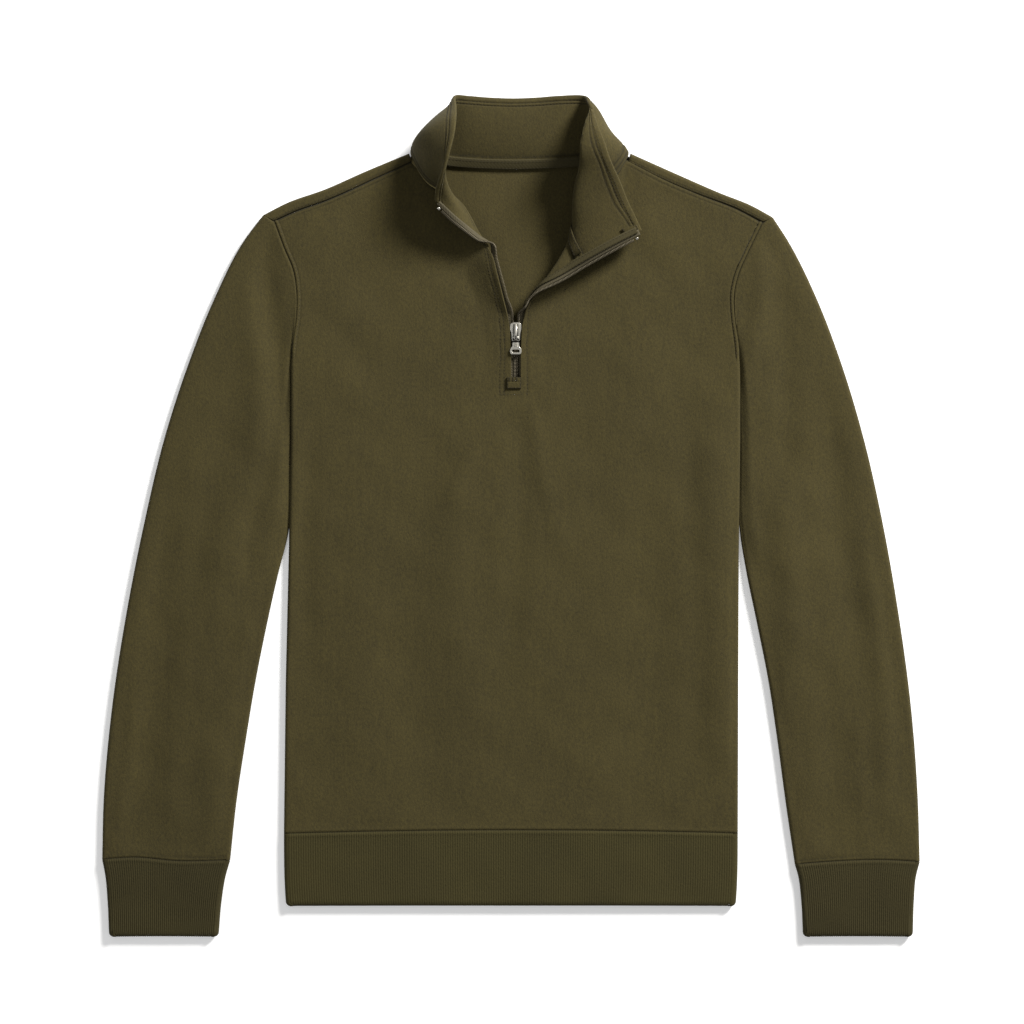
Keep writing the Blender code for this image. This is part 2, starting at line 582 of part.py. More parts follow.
def back_panel():
    """Flat on the surface, turned up at the sides, and wrapped over each shoulder to its seam."""
    columns = 2 * (ROLL_COLUMNS + SHOULDER_COLUMNS) + BACK_NECK_COLUMNS
    neck_start = ROLL_COLUMNS + SHOULDER_COLUMNS
    neck_end = neck_start + BACK_NECK_COLUMNS
    flat_rows = LOW_ROWS + UP_ROWS
    split = LOW_ROWS / flat_rows
    rows = np.zeros((columns + 1, flat_rows + WRAP_ROWS + 1, 3))
    folds = {side: curve(side_points(SHOULDER_FOLDS, side)) for side in SIGN}
    seams = {side: curve(side_points(SHOULDER_SEAMS, side)) for side in SIGN}
    armholes = {side: back_armhole(side) for side in SIGN}
    first, last = NECK_STATIONS["right"]["fold"], NECK_STATIONS["left"]["fold"]

    def shoulder_share(i):
        """The side that a shoulder column is on, and its share of the way from the neck to the sleeve."""
        side, k = ("right", i) if i <= neck_start else ("left", columns - i)
        if k < ROLL_COLUMNS:
            return side, 1 - TIP_SHARE * k / ROLL_COLUMNS
        return side, max((1 - TIP_SHARE) * (neck_start - k) / SHOULDER_COLUMNS, NECK_EASE)

    def wrap_start(side, share):
        fold, seam = folds[side](share), seams[side](share)
        return fold + unit(seam - fold) * FOLD_MID

    def edge(side, v):
        inset = np.array([-SIGN[side] * FOLD_MID, 0.0])
        if v < split:
            low = hem_y(SIDES[side][0])
            y = low + (SIDES["y"][-1] - low) * v / split
            return np.array([np.interp(y, SIDES["y"], SIDES[side]), y]) + inset
        return armholes[side]((v - split) / (1 - split)) + inset

    def top(u):
        i = u * (columns - 2 * ROLL_COLUMNS) + ROLL_COLUMNS
        if neck_start < i < neck_end:
            share = (i - neck_start) / BACK_NECK_COLUMNS
            return SEAM_POINT((first + (last - first) * share) / STATIONS)[:2]
        side, share = shoulder_share(i)
        return wrap_start(side, share) + (edge(side, 1) - wrap_start(side, 1 - TIP_SHARE)) * share

    def low(u):
        x = edge("right", 0)[0] * (1 - u) + edge("left", 0)[0] * u
        return np.array([x, hem_y(x)])

    for j in range(flat_rows + 1):
        v = j / flat_rows
        for i in range(ROLL_COLUMNS, columns - ROLL_COLUMNS + 1):
            u = (i - ROLL_COLUMNS) / (columns - 2 * ROLL_COLUMNS)
            spot = patch(low, top, lambda t: edge("right", t), lambda t: edge("left", t), u, v)
            rows[i, j] = (*spot, BACK_MID)
        for side in SIGN:
            start = rows[ROLL_COLUMNS if side == "right" else columns - ROLL_COLUMNS, j]
            for k in range(1, ROLL_COLUMNS + 1):
                slack = UNDERARM_SLACK if j == LOW_ROWS else 0.0
                step = side_roll(side, k, 1, slack) if j <= LOW_ROWS else armhole_step(side, k)
                i = ROLL_COLUMNS - k if side == "right" else columns - ROLL_COLUMNS + k
                rows[i, j] = start + step
    shoulders = [i for i in range(columns + 1) if not neck_start < i < neck_end]
    for i in shoulders:
        side, share = shoulder_share(i)
        fold, seam = folds[side](share), seams[side](share)
        inward = unit(seam - fold)
        for j in range(WRAP_ROWS):
            angle = math.pi * j / (WRAP_ROWS - 1)
            out = FOLD_MID - FOLD_RADIUS * math.sin(angle)
            rows[i, flat_rows + j] = (*(fold + inward * out), FOLD_MID - FOLD_RADIUS * math.cos(angle))
        rows[i, -1] = (*(seam - inward * CURVED_SEAM), TOP_MID)
    neck = [None] * (columns + 1)
    for i in range(neck_start + 1, neck_end):
        neck[i] = first + (last - first) * (i - neck_start) / BACK_NECK_COLUMNS
    trim_to_collar(rows, neck, flat_rows)

    def above_neck(i, j):
        return j >= flat_rows and neck_start <= i < neck_end

    cloth("back_panel", rows, WALL, (OLIVE_INSIDE, 0.92), left_out=above_neck)


# ------------------------------------------------------------------------ sleeves, cuffs, hem band


def tube_ring(thick, wall, front_steps, back_steps):
    """Round a flattened tube from its outer fold's back: (side of the tube, place, height) for each point.

    A place is ("outer", mm), ("inner", mm) or ("flat", share), from the outer fold to the inner one.
    """
    middle, radius = thick / 2, (thick - wall) / 2
    ring = []
    for k in range(FOLD_STEPS + 1):
        angle = math.pi * k / FOLD_STEPS
        face = "back" if k < FOLD_STEPS / 2 else "front"
        ring.append((face, "outer", middle - radius * math.sin(angle), middle - radius * math.cos(angle)))
    for share in front_steps:
        ring.append(("front", "flat", share, thick - wall / 2))
    for k in range(FOLD_STEPS + 1):
        angle = math.pi * k / FOLD_STEPS
        face = "front" if k < FOLD_STEPS / 2 else "back"
        ring.append((face, "inner", middle - radius * math.sin(angle), middle + radius * math.cos(angle)))
    for share in back_steps[::-1]:
        ring.append(("back", "flat", share, wall / 2))
    ring.append(ring[0])
    return ring


def tube(ring, outer, inner, tops, bottom, steps, top_width, top_ring=None, relief=None):
    """The points of a flattened tube [round, down] between its two folds, its top and its bottom."""
    top_ring = top_ring or ring
    rows = np.zeros((len(ring), steps + 1, 3))
    bottom_width = length(bottom)
    for j in range(steps + 1):
        v = j / steps
        width = top_width * (1 - v) + bottom_width * v
        for i, (face, kind, place, height) in enumerate(ring):
            u = {"outer": place / width, "inner": 1 - place / width, "flat": place}[kind]
            if kind == "flat":
                u = top_ring[i][2] * (1 - v) + place * v
            spot = patch(tops[face], bottom, outer, inner, u, v)
            lift = relief(u, v) if relief and face == "front" and kind == "flat" else 0.0
            rows[i, j] = (*spot, height + lift)
    return rows


def end_gap(rows, row, inside, gaps):
    """Draws a tube's end row back from its seam, square to the seam, by each point's gap."""
    last = rows[:, row].copy()
    count = len(rows) - 1
    for i in range(count + 1):
        along = unit(last[(i + 1) % count] - last[(i - 1) % count])
        step = rows[i, inside] - last[i]
        away = step - along * np.dot(step, along)
        away[2] = 0.0
        rows[i, row] += unit(away) * gaps[i]


def sleeve_relief(u, v):
    """Height of a sleeve's soft ridges and troughs, by shares across and along it."""
    height = 0.0
    for across, start, end, half, rise in zip(*SLEEVE_FOLDS.values()):
        ends = soft_step((v - start) / 0.15) * soft_step((end - v) / 0.15)
        height += rise * ends * math.exp(-(((u - across) / half) ** 2))
    return height


def sleeve(side):
    fold_end = curve(side_points(SHOULDER_FOLDS, side))(1)
    armhole, back_line = curve(side_points(ARMHOLES, side)), back_armhole(side)
    around = length(armhole) + np.linalg.norm(armhole(1) - fold_end)
    landing = np.linalg.norm(armhole(1) - fold_end) / around
    start = FOLD_MID / around

    def top(line, meets, u):
        """From the shoulder fold straight to where the line ends, then down it to the underarm."""
        if u < meets:
            return fold_end + (line(1) - fold_end) * u / meets
        return line(1 - (u - meets) / (1 - meets))

    tops = {
        "front": lambda u: top(armhole, landing, u),
        "back": lambda u: top(back_line, start, u),
    }
    front_top = [landing + (1 - landing) * k / UP_ROWS for k in range(UP_ROWS)]
    back_top = [start + (1 - start) * k / UP_ROWS for k in range(1, UP_ROWS)]
    even_front = [(k + 1) / (UP_ROWS + 1) for k in range(UP_ROWS)]
    even_back = [k / UP_ROWS for k in range(1, UP_ROWS)]
    ring = tube_ring(BODY_THICK, WALL, even_front, even_back)
    top_ring = tube_ring(BODY_THICK, WALL, front_top, back_top)
    outer = curve(side_points(SLEEVE_OUTERS, side))
    inner = curve(side_points(SLEEVE_INNERS, side))
    cuff = curve(side_points(CUFF_SEAMS, side))
    rows = tube(ring, outer, inner, tops, cuff, SLEEVE_ROWS, around, top_ring, sleeve_relief)
    end_gap(rows, 0, 1, [ARMHOLE_SEAM] * len(ring))
    for i, (_, kind, place, _) in enumerate(top_ring):
        if kind == "inner":
            rows[i, 0, 0] += SIGN[side] * UNDERARM_SEAM
        elif kind == "flat" and place > (UP_ROWS - 2) / UP_ROWS:
            rows[i, 0:2, 0] += SIGN[side] * UNDERARM_SEAM / 2
    end_gap(rows, SLEEVE_ROWS, SLEEVE_ROWS - 1, [SEAM] * len(ring))
    cloth("sleeve_" + side, rows, WALL, (OLIVE, 0.92), ring=True)


def cuff(side):
    even = [(k + 1) / (UP_ROWS + 1) for k in range(UP_ROWS)]
    ring = tube_ring(RIB_THICK, RIB_WALL, even, [k / UP_ROWS for k in range(1, UP_ROWS)])
    seam = curve(side_points(CUFF_SEAMS, side))
    edges = {}
    for place in ("outer", "inner"):
        rows = np.stack([CUFF_EDGES[f"{side}_{place}"], CUFF_EDGES["y"]], axis=1)
        rows[0] = seam(0 if place == "outer" else 1)
        edges[place] = curve(rows)
    bottom = curve([edges["outer"](1), edges["inner"](1)])
    tops = {"front": seam, "back": seam}
    rows = tube(ring, edges["outer"], edges["inner"], tops, bottom, RIB_ROWS, length(seam))
    end_gap(rows, 0, 1, [SEAM] * len(ring))
    cloth("cuff_" + side, rows, RIB_WALL, (OLIVE_DARK, 0.95), ring=True)


def hem_band():
    even = [k / HEM_COLUMNS for k in range(1, HEM_COLUMNS)]
    ring = tube_ring(RIB_THICK, RIB_WALL, even, even)
    ends = {side: SIDES[side][0] for side in SIGN}

    def seam(u):
        x = ends["right"] * (1 - u) + ends["left"] * u
        return np.array([x, hem_y(x)])

    def edge(side):
        top_y = hem_y(ends[side])

        def place(v):
            return np.array([ends[side] - SIGN[side] * HEM_DRAW_IN * v**3, top_y + (HEM_BOTTOM_Y - top_y) * v])

        return place

    bottom = curve([edge("right")(1), edge("left")(1)])
    tops = {"front": seam, "back": seam}
    rows = tube(ring, edge("right"), edge("left"), tops, bottom, RIB_ROWS, length(seam))
    end_gap(rows, 0, 1, [SEAM] * len(ring))
    cloth("hem_band", rows, RIB_WALL, (OLIVE_DARK, 0.95), ring=True)


# ----------------------------------------------------------------------------------------- collar


def collar():
    """One piece folded at the collar's top edge: up the outer wall, over the fold, down the inner."""
    shares = [0.0, 0.25, 0.5, 0.75, 1.0]
    walls = [(share, 1) for share in shares] + [(share, -1) for share in shares[::-1]]
    rows = np.zeros((COLLAR_COLUMNS + 1, len(walls) + 1, 3))
    for i in range(COLLAR_COLUMNS + 1):
        station = STATIONS * i / COLLAR_COLUMNS
        spots = []
        for share, out in walls:
            normal = collar_normal(station, share)
            spots.append(collar_point(station, share) + normal * out * COLLAR_HALF_GAP)
        up = unit(collar_point(station, 1) - collar_point(station, 0.9))
        spots.insert(len(shares), collar_point(station, 1) + up * COLLAR_HALF_GAP)
        rows[i] = spots
    cloth("collar", rows, COLLAR_WALL, (OLIVE, 0.92))


def neck_tape():
    """Lies over the neck seam on the collar's inner wall, across the back of the neck."""
    shares = [0.01, 0.07, 0.13]
    rise = COLLAR_HALF + 0.4 + TRIM_WALL / 2
    rows = np.zeros((BACK_NECK_COLUMNS + 1, len(shares), 3))
    for i, station in enumerate(np.linspace(*NECK_TAPE, BACK_NECK_COLUMNS + 1)):
        for j, share in enumerate(shares):
            rows[i, j] = collar_point(station, share) - collar_normal(station, share) * rise
    cloth("neck_tape", rows, TRIM_WALL, (OLIVE_INSIDE, 0.9))


# -------------------------------------------------------------------------------------------- zip


def leaf_point(side, t, inside):
    """A place on a leaf's middle surface, in mm from its edge, at t of the way from window to neck."""
    base, crest, edge = leaf_lines(side)
    w = inside / (2 * np.linalg.norm(crest(t) - edge(t)))
    foot = np.array([*base(t), TOP_MID])
    return (1 - w) ** 2 * edge(t) + 2 * w * (1 - w) * crest(t) + w * w * foot


def leaf_frame(side, t):
    """A place on a leaf's edge, the way on out of the cloth and the way out of its outer face."""
    edge, inside = leaf_point(side, t, 0.0), leaf_point(side, t, 1.0)
    ahead = unit(leaf_point(side, min(t + 0.02, 1), 0.0) - leaf_point(side, max(t - 0.02, 0), 0.0))
    normal = unit(np.cross(ahead, edge - inside)) * SIGN[side]
    out = unit(np.cross(normal, ahead)) * SIGN[side]
    opened = soft_step((edge[1] - SLIDER_HIGH_Y) / 18)
    level = soft_step((edge[1] - SLIDER_LOW_Y) / 8 + 1) * (1 - opened)
    edge[2] += (EDGE_AT_SLIDER_Z - edge[2]) * level
    out = unit(out * opened - np.array([SIGN[side], 0, 0]) * (1 - opened))
    return edge, out, unit(normal * opened + np.array([0, 0, 1]) * (1 - opened))


def front_edge_frame(side, share):
    """The same on the collar's front edge, at share of its height."""
    station = NECK_STATIONS[side]["edge"]
    ahead = unit(collar_point(station, min(share + 0.02, 1)) - collar_point(station, max(share - 0.02, 0)))
    normal = collar_normal(station, share)
    return collar_point(station, share), unit(np.cross(normal, ahead)) * SIGN[side], normal


def zip_rows(side, start, end, offsets, drop):
    """Points [along, across] of a strip by the cloth's edge, from the window's end to the collar's top.

    offsets(spot) gives its columns in mm beyond the edge, and drop is how far it lies under the cloth.
    """
    frames = [(*leaf_frame(side, t), t, drop) for t in np.linspace(0, 0.95, LEAF_SAMPLES)]
    last, first = leaf_frame(side, 1), front_edge_frame(side, 0)
    corner, out, normal = [(a + b) / 2 for a, b in zip(last, first)]
    frames.append((corner, unit(out), unit(normal), None, CORNER_EASE * drop / np.linalg.norm(normal)))
    frames += [(*front_edge_frame(side, share), None, drop) for share in (0.12, 0.4, 0.7, 0.97)]
    lines = []
    for edge, out, normal, t, fall in frames:
        columns = []
        for offset in offsets(edge):
            spot = edge + out * offset
            if t is not None and offset < 0 and edge[1] > SLIDER_HIGH_Y + 18:
                spot = leaf_point(side, t, -offset)
            columns.append(spot - normal * fall)
        lines.append(columns)
    lines = np.array(lines)
    across = [curve(lines[:, k]) for k in range(lines.shape[1])]
    shares = np.linspace(start, end, ZIP_STEPS + 1)
    return np.array([[line(share) for line in across] for share in shares])


def teeth_reach(spot):
    """How far the middle of a row of teeth lies beyond the cloth's edge at spot."""
    to_centre = abs(CENTRE_X - spot[0])
    apart = CHAIN_HALF_WIDTH + SEAM / 2 + TEETH_SPREAD * soft_step((spot[1] - HINGE_Y) / 12)
    opened = soft_step((spot[1] - SLIDER_HIGH_Y) / 22)
    return (to_centre - apart) * (1 - opened) + OPEN_REACH * opened


def tape_columns(edge):
    return (-TAPE_HIDDEN, 0.01, teeth_reach(edge) - CHAIN_HALF_WIDTH - TEETH_TO_TAPE)


def chain_columns(edge):
    return (teeth_reach(edge) - CHAIN_HALF_WIDTH, teeth_reach(edge) + CHAIN_HALF_WIDTH)


def facing_columns(_edge):
    return FACING_COLUMNS


def zip_strips():
    for side in SIGN:
        tape = zip_rows(side, 0, 1, tape_columns, TAPE_DROP)
        cloth("zip_tape_" + side, tape, TRIM_WALL, (TAPE_GREY, 0.85))
        teeth = zip_rows(side, 0, CHAIN_END, chain_columns, TAPE_DROP)
        cloth("zip_chain_" + side, teeth, CHAIN_THICK, (GUNMETAL, 0.4, 0.8))
        stop = zip_rows(side, *STOP_SPAN, chain_columns, TAPE_DROP)
        cloth("zip_stop_" + side, stop[:: ZIP_STEPS // 2], STOP_THICK, (NICKEL, 0.3, 1.0))
    facing = zip_rows("left", *FACING_SPAN, facing_columns, FACING_DROP)
    cloth("zip_facing", facing, TRIM_WALL, (OLIVE_INSIDE, 0.9))


def end_patch():
    """The piece sewn over the zip's lower end, from one side of the slit to the other."""
    right, left = leaf_lines("right")[2], leaf_lines("left")[2]
    rise = WALL / 2 + SEAM + PATCH_WALL / 2
    rows = np.zeros((4, 3, 3))
    for j, y in enumerate(np.linspace(PATCH_LOW_Y, PATCH_HIGH_Y, 3)):
        t = max(y - SLIT_LOW_Y, 0) / length(lambda s: right(s)[:2])
        near = (right(t), left(t))
        top = max(point[2] for point in near) + rise
        for i, x in enumerate((PATCH_RIGHT_X, near[0][0], near[1][0], PATCH_LEFT_X)):
            rows[i, j] = (x, y, top)
    cloth("zip_end_patch", rows, PATCH_WALL, (OLIVE_DARK, 0.9))


def prism(bm, outline, axis, low, high):
    """A closed prism: an outline of pairs in mm, (x, y) or for the x axis (y, z), drawn from low to high."""
    along = Vector((0, 0, 1)) if axis == "z" else Vector((1, 0, 0))
    flat = [Vector((a, b, 0)) if axis == "z" else Vector((0, a, b)) for a, b in outline]
    face = bm.faces.new([bm.verts.new((corner + along * low) * MM) for corner in flat])
    made = bmesh.ops.extrude_face_region(bm, geom=[face])
    top = [item for item in made["geom"] if isinstance(item, bmesh.types.BMVert)]
    bmesh.ops.translate(bm, verts=top, vec=along * (high - low) * MM)
    bmesh.ops.recalc_face_normals(bm, faces=bm.faces)


def join(whole, name, bm):
    """Adds a closed shape to an object with a Boolean union."""
    other = add_object(name, bm, (NICKEL, 0.3, 1.0))
    other.hide_render = True
    other.display_type = "WIRE"
    other.location = whole.location
    union = whole.modifiers.new(name, "BOOLEAN")
    union.operation = "UNION"
    union.solver = "EXACT"
    union.object = other


def slider():
    """Two plates round the chain, joined by a wedge between the parted rows, and a bridge for the pull."""
    under, over = CHAIN_MID_Z - PLATE_GAP / 2, CHAIN_MID_Z + PLATE_GAP / 2
    tall = SLIDER_HIGH_Y - SLIDER_LOW_Y
    outline = [(CENTRE_X + wide, SLIDER_LOW_Y + tall * share) for share, wide in SLIDER_HALF]
    outline += [(CENTRE_X - wide, SLIDER_LOW_Y + tall * share) for share, wide in SLIDER_HALF[::-1]]
    bm = bmesh.new()
    prism(bm, outline, "z", over, over + PLATE_THICK)
    whole = add_object("zip_slider", bm, (NICKEL, 0.3, 1.0))
    bm = bmesh.new()
    prism(bm, outline, "z", under - PLATE_THICK, under)
    join(whole, "slider_under_plate", bm)
    bm = bmesh.new()
    wedge = [(0.0, WEDGE_LOW_Y), (WEDGE_HALF, SLIDER_HIGH_Y - 1.4), (0.8, SLIDER_HIGH_Y - 0.5)]
    outline = [(CENTRE_X + x, y) for x, y in wedge] + [(CENTRE_X - x, y) for x, y in wedge[:0:-1]]
    prism(bm, outline, "z", under - PLATE_THICK / 2, over + PLATE_THICK / 2)
    join(whole, "slider_wedge", bm)
    low, roof = over + PLATE_THICK / 2, over + PLATE_THICK + BRIDGE_RISE
    high_y, low_y = SLIDER_HIGH_Y - 1.5, SLIDER_LOW_Y + 0.2
    outer = [(high_y, low), (high_y - 7.0, roof + BRIDGE_THICK), (low_y + 0.8, roof + BRIDGE_THICK)]
    outer += [(low_y, roof), (low_y, low)]
    inner = [(low_y + BRIDGE_THICK, low), (low_y + BRIDGE_THICK, roof), (high_y - 7.6, roof)]
    inner += [(high_y - 9.0, over + PLATE_THICK + 0.3), (high_y - 9.0, low)]
    bm = bmesh.new()
    prism(bm, outer + inner, "x", CENTRE_X - BRIDGE_WIDTH / 2, CENTRE_X + BRIDGE_WIDTH / 2)
    join(whole, "slider_bridge", bm)


def pull_tab():
    """A flat tab on a bar under the slider's bridge, made about the bar's axis."""
    eye_x, eye_low, eye_high = BRIDGE_WIDTH / 2 + 0.35, PULL_EYE_LOW_Y - HINGE_Y, -HINGE_RADIUS
    neck, wide, low = PULL_NECK_HALF, PULL_WIDE_HALF, PULL_LOW_Y - HINGE_Y
    outer = [(neck, HINGE_RADIUS), (neck, eye_low - 3.6)]
    outer += [(wide, low + 6.0), (wide, low + 1.6), (wide - 1.6, low)]
    outline = outer + [(-x, y) for x, y in outer[::-1]]
    half = PULL_THICK / 2
    bm = bmesh.new()
    prism(bm, outline, "z", -half, half)
    whole = add_object("zip_pull", bm, (NICKEL, 0.3, 1.0))
    whole.location = Vector((CENTRE_X, HINGE_Y, HINGE_Z)) * MM
    holes = {
        "pull_eye": [(-eye_x, eye_low), (eye_x, eye_low), (eye_x, eye_high), (-eye_x, eye_high)],
        "pull_hole": [(-3.8, low + 2.6), (3.8, low + 2.6), (3.8, low + 5.8), (-3.8, low + 5.8)],
    }
    for name, corners in holes.items():
        bm = bmesh.new()
        prism(bm, corners, "z", -PULL_THICK, PULL_THICK)
        join(whole, name, bm)
        whole.modifiers[name].operation = "DIFFERENCE"


def build():
    for old in list(bpy.data.objects):
        bpy.data.objects.remove(old, do_unlink=True)
    front_panel()
    back_panel()
    for side in SIGN:
        sleeve(side)
        cuff(side)
    hem_band()
    collar()
    neck_tape()
    zip_strips()
    end_patch()
    slider()
    pull_tab()


build()
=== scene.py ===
"""A quarter zip sweater laid flat on its back with its collar opened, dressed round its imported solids.

Sizes and tables are in millimetres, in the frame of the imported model: +X is the wearer's left, +Y runs
from hem to collar and z = 0 is the surface underneath. "right" and "left" are the wearer's.
Each cloth piece is a grid of points on the middle of its wall, finer than its solid, with soft creases,
sunken seams and stitching added.
"""

import math
import random

import bmesh
import bpy
import numpy as np
from mathutils import Matrix, Vector


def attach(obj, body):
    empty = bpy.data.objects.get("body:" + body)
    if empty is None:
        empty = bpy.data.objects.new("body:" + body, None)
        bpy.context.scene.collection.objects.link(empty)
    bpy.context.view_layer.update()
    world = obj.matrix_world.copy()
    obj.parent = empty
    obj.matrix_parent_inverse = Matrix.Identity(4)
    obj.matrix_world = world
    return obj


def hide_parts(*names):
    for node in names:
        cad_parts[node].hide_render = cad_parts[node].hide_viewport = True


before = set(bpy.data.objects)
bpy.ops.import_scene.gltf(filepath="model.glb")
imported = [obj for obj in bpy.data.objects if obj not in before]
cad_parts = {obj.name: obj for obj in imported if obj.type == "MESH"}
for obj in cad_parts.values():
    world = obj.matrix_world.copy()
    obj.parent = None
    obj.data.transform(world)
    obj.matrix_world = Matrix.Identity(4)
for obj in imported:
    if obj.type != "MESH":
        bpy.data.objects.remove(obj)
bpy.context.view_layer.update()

MM = 0.001

# ------------------------------------------------------------------------------------------ sizes

WALL = 1.6  # brushed cloth
RIB_WALL = 2.6
COLLAR_WALL = 1.3
COLLAR_HALF_GAP = 0.95  # from the collar's middle to the middle of either wall
COLLAR_HALF = COLLAR_HALF_GAP + COLLAR_WALL / 2
TRIM_WALL = 1.0
SEAM = 0.1  # between sewn edges, which meet at the bottom of a valley
UNDERARM_SEAM = 0.5
TOUCH = 0.25  # between a sleeve and the body's side that lies against it
BODY_THICK = 6.8
RIB_THICK = 7.6
TOP_MID = BODY_THICK - WALL / 2
BACK_MID = WALL / 2
FOLD_MID = BODY_THICK / 2
FOLD_RADIUS = FOLD_MID - WALL / 2
ROLL_UPRIGHT = 0.8
FOLD_STEPS = 8  # in a rounded fold
SHOULDER_WRAP_ROWS = 18  # of the back's grid, over the shoulder to its seam

CENTRE_X = 4.95
HEM_SEAM_Y = -295.4
HEM_SAG = 3.0
HEM_BOTTOM_Y = -365.6
CUFF_BOTTOM_Y = -394.3
SLIT_LOW_Y = 119.7
UNDERARM_Y = 141.5
SIDE_TALL = 437.0  # hem seam to underarm
HEM_TO_ARM = 5 / 13  # share of a panel's rows below the underarm
NECK_SHARE = 3 / 8  # share of a front's top edge that is neck
ARM_TALL, HALF_WIDE, LEAF_WIDE = 205.0, 165.0, 24.0
COLLAR_TALL = 62.0

RIB_PITCH = 2.3
RIB_RISE = 0.17
CREASE = 1.6  # height of a crease whose rise is 1
CREASE_WANDER, CREASE_PAST, CREASE_FADE = 0.35, 0.12, 0.35  # shares of its half width and length
CORNER_RADIUS = 3.2
SIGN = {"right": -1, "left": 1}


def table(names, *rows):
    """The rows as one array for each named column."""
    return dict(zip(names.split(), np.array(rows, float).T))


def points(rows, *names):
    """The named columns side by side, one point a row."""
    return np.stack([rows[name] for name in names], axis=-1)


SIDES = table(
    "y right left",
    (-298.4, -212.7, 213.4),
    (-154.6, -211.0, 213.8),
    (-37.1, -208.2, 214.3),
    (71.0, -206.3, 215.7),
    (141.5, -206.3, 215.7),
)
ARMHOLES = table(  # underarm to the end of the shoulder seam, which lies on the front
    "right_x right_y left_x left_y",
    (-206.3, 141.5, 215.7, 141.5),
    (-204.6, 163.1, 214.0, 162.3),
    (-201.8, 183.8, 210.6, 188.3),
    (-200.9, 206.3, 210.0, 208.1),
    (-203.9, 229.8, 213.8, 226.1),
    (-212.5, 251.3, 223.2, 247.7),
    (-221.9, 276.8, 236.8, 275.6),
)
SHOULDER_FOLDS = table(  # neck to sleeve
    "right_x right_y left_x left_y",
    (-93.9, 340.5, 111.3, 340.5),
    (-135.5, 323.3, 159.3, 319.1),
    (-175.1, 305.8, 197.9, 302.2),
    (-210.7, 293.0, 226.1, 290.9),
    (-232.5, 281.7, 246.4, 279.7),
)
SHOULDER_SEAMS = table(
    "right_x right_y left_x left_y",
    (-91.4, 332.8, 108.9, 332.2),
    (-122.4, 318.6, 140.5, 316.3),
    (-175.1, 295.2, 178.1, 300.8),
    (-201.5, 286.0, 211.0, 288.6),
    (-221.9, 276.8, 236.8, 275.6),
)
SLEEVE_OUTERS = table(
    "right_x right_y left_x left_y",
    (-232.5, 281.7, 246.4, 279.7),
    (-249.6, 259.0, 259.9, 259.0),
    (-278.7, 202.6, 288.1, 202.6),
    (-301.3, 146.2, 309.7, 146.2),
    (-325.7, 71.0, 332.3, 71.0),
    (-343.6, -4.2, 349.2, -4.2),
    (-359.5, -84.1, 363.3, -84.1),
    (-374.6, -182.8, 376.5, -182.8),
    (-382.1, -267.4, 382.6, -267.4),
    (-383.4, -322.6, 384.2, -325.0),
)
SLEEVE_INNERS = table(
    "right_x right_y left_x left_y",
    (-206.3, 141.5, 215.7, 141.5),
    (-208.2, 100.0, 217.4, 100.0),
    (-208.6, 61.6, 217.6, 61.6),
    (-210.0, -13.6, 217.4, -13.6),
    (-218.5, -55.9, 222.3, -55.9),
    (-227.9, -98.2, 230.8, -98.2),
    (-239.2, -154.6, 242.0, -154.6),
    (-248.6, -211.0, 250.5, -211.0),
    (-257.1, -267.4, 258.0, -267.4),
    (-263.2, -323.5, 266.9, -327.4),
)
CUFF_SEAMS = table(  # outer fold to inner fold
    "right_x right_y left_x left_y",
    (-383.4, -322.6, 384.2, -325.0),
    (-353.9, -320.9, 351.1, -323.3),
    (-312.5, -324.2, 297.5, -325.0),
    (-263.2, -323.5, 266.9, -327.4),
)
CUFF_EDGES = table(  # seam to bottom, outer fold and inner fold
    "y right_outer right_inner left_outer left_inner",
    (-325.0, -383.2, -263.5, 384.0, 267.0),
    (-338.0, -380.4, -267.4, 380.8, 270.0),
    (-361.4, -378.3, -271.2, 378.7, 272.9),
    (CUFF_BOTTOM_Y, -376.9, -274.0, 377.7, 274.5),
)
LEAVES = {  # where a leaf starts to lift, the crest it bends over and its edge, window end to neck
    "right": table(
        "base_x base_y crest_x crest_y crest_z edge_x edge_y edge_z",
        (-22.1, 119.7, -10.8, 119.7, 6.2, 0.6, 119.7, 6.4),
        (-22.1, 160.2, -10.8, 160.2, 7.4, 0.1, 160.2, 8.4),
        (-25.8, 181.8, -12.7, 181.6, 7.8, -1.6, 181.4, 8.6),
        (-32.4, 204.4, -18.3, 202.9, 9.0, -6.5, 201.7, 13.0),
        (-41.8, 226.1, -25.8, 224.4, 10.0, -13.1, 226.8, 15.0),
        (-48.0, 249.6, -32.2, 245.0, 11.0, -17.3, 241.8, 15.0),
        (-46.5, 289.0, -34.0, 271.0, 11.0, -22.0, 251.2, 14.0),
    ),
    "left": table(
        "base_x base_y crest_x crest_y crest_z edge_x edge_y edge_z",
        (32.4, 119.7, 20.2, 119.7, 6.2, 9.3, 119.7, 6.4),
        (32.4, 160.2, 20.2, 160.2, 7.4, 9.8, 160.2, 8.4),
        (39.0, 185.6, 22.0, 184.2, 7.8, 11.5, 181.4, 8.6),
        (43.7, 203.5, 16.4, 198.2, 10.0, 18.3, 198.8, 14.0),
        (57.8, 218.5, 27.6, 213.9, 12.0, 29.4, 212.1, 18.0),
        (70.0, 244.9, 40.7, 237.2, 14.0, 45.3, 221.9, 19.0),
        (78.5, 289.1, 53.8, 263.3, 15.0, 62.6, 232.2, 18.0),
    ),
}
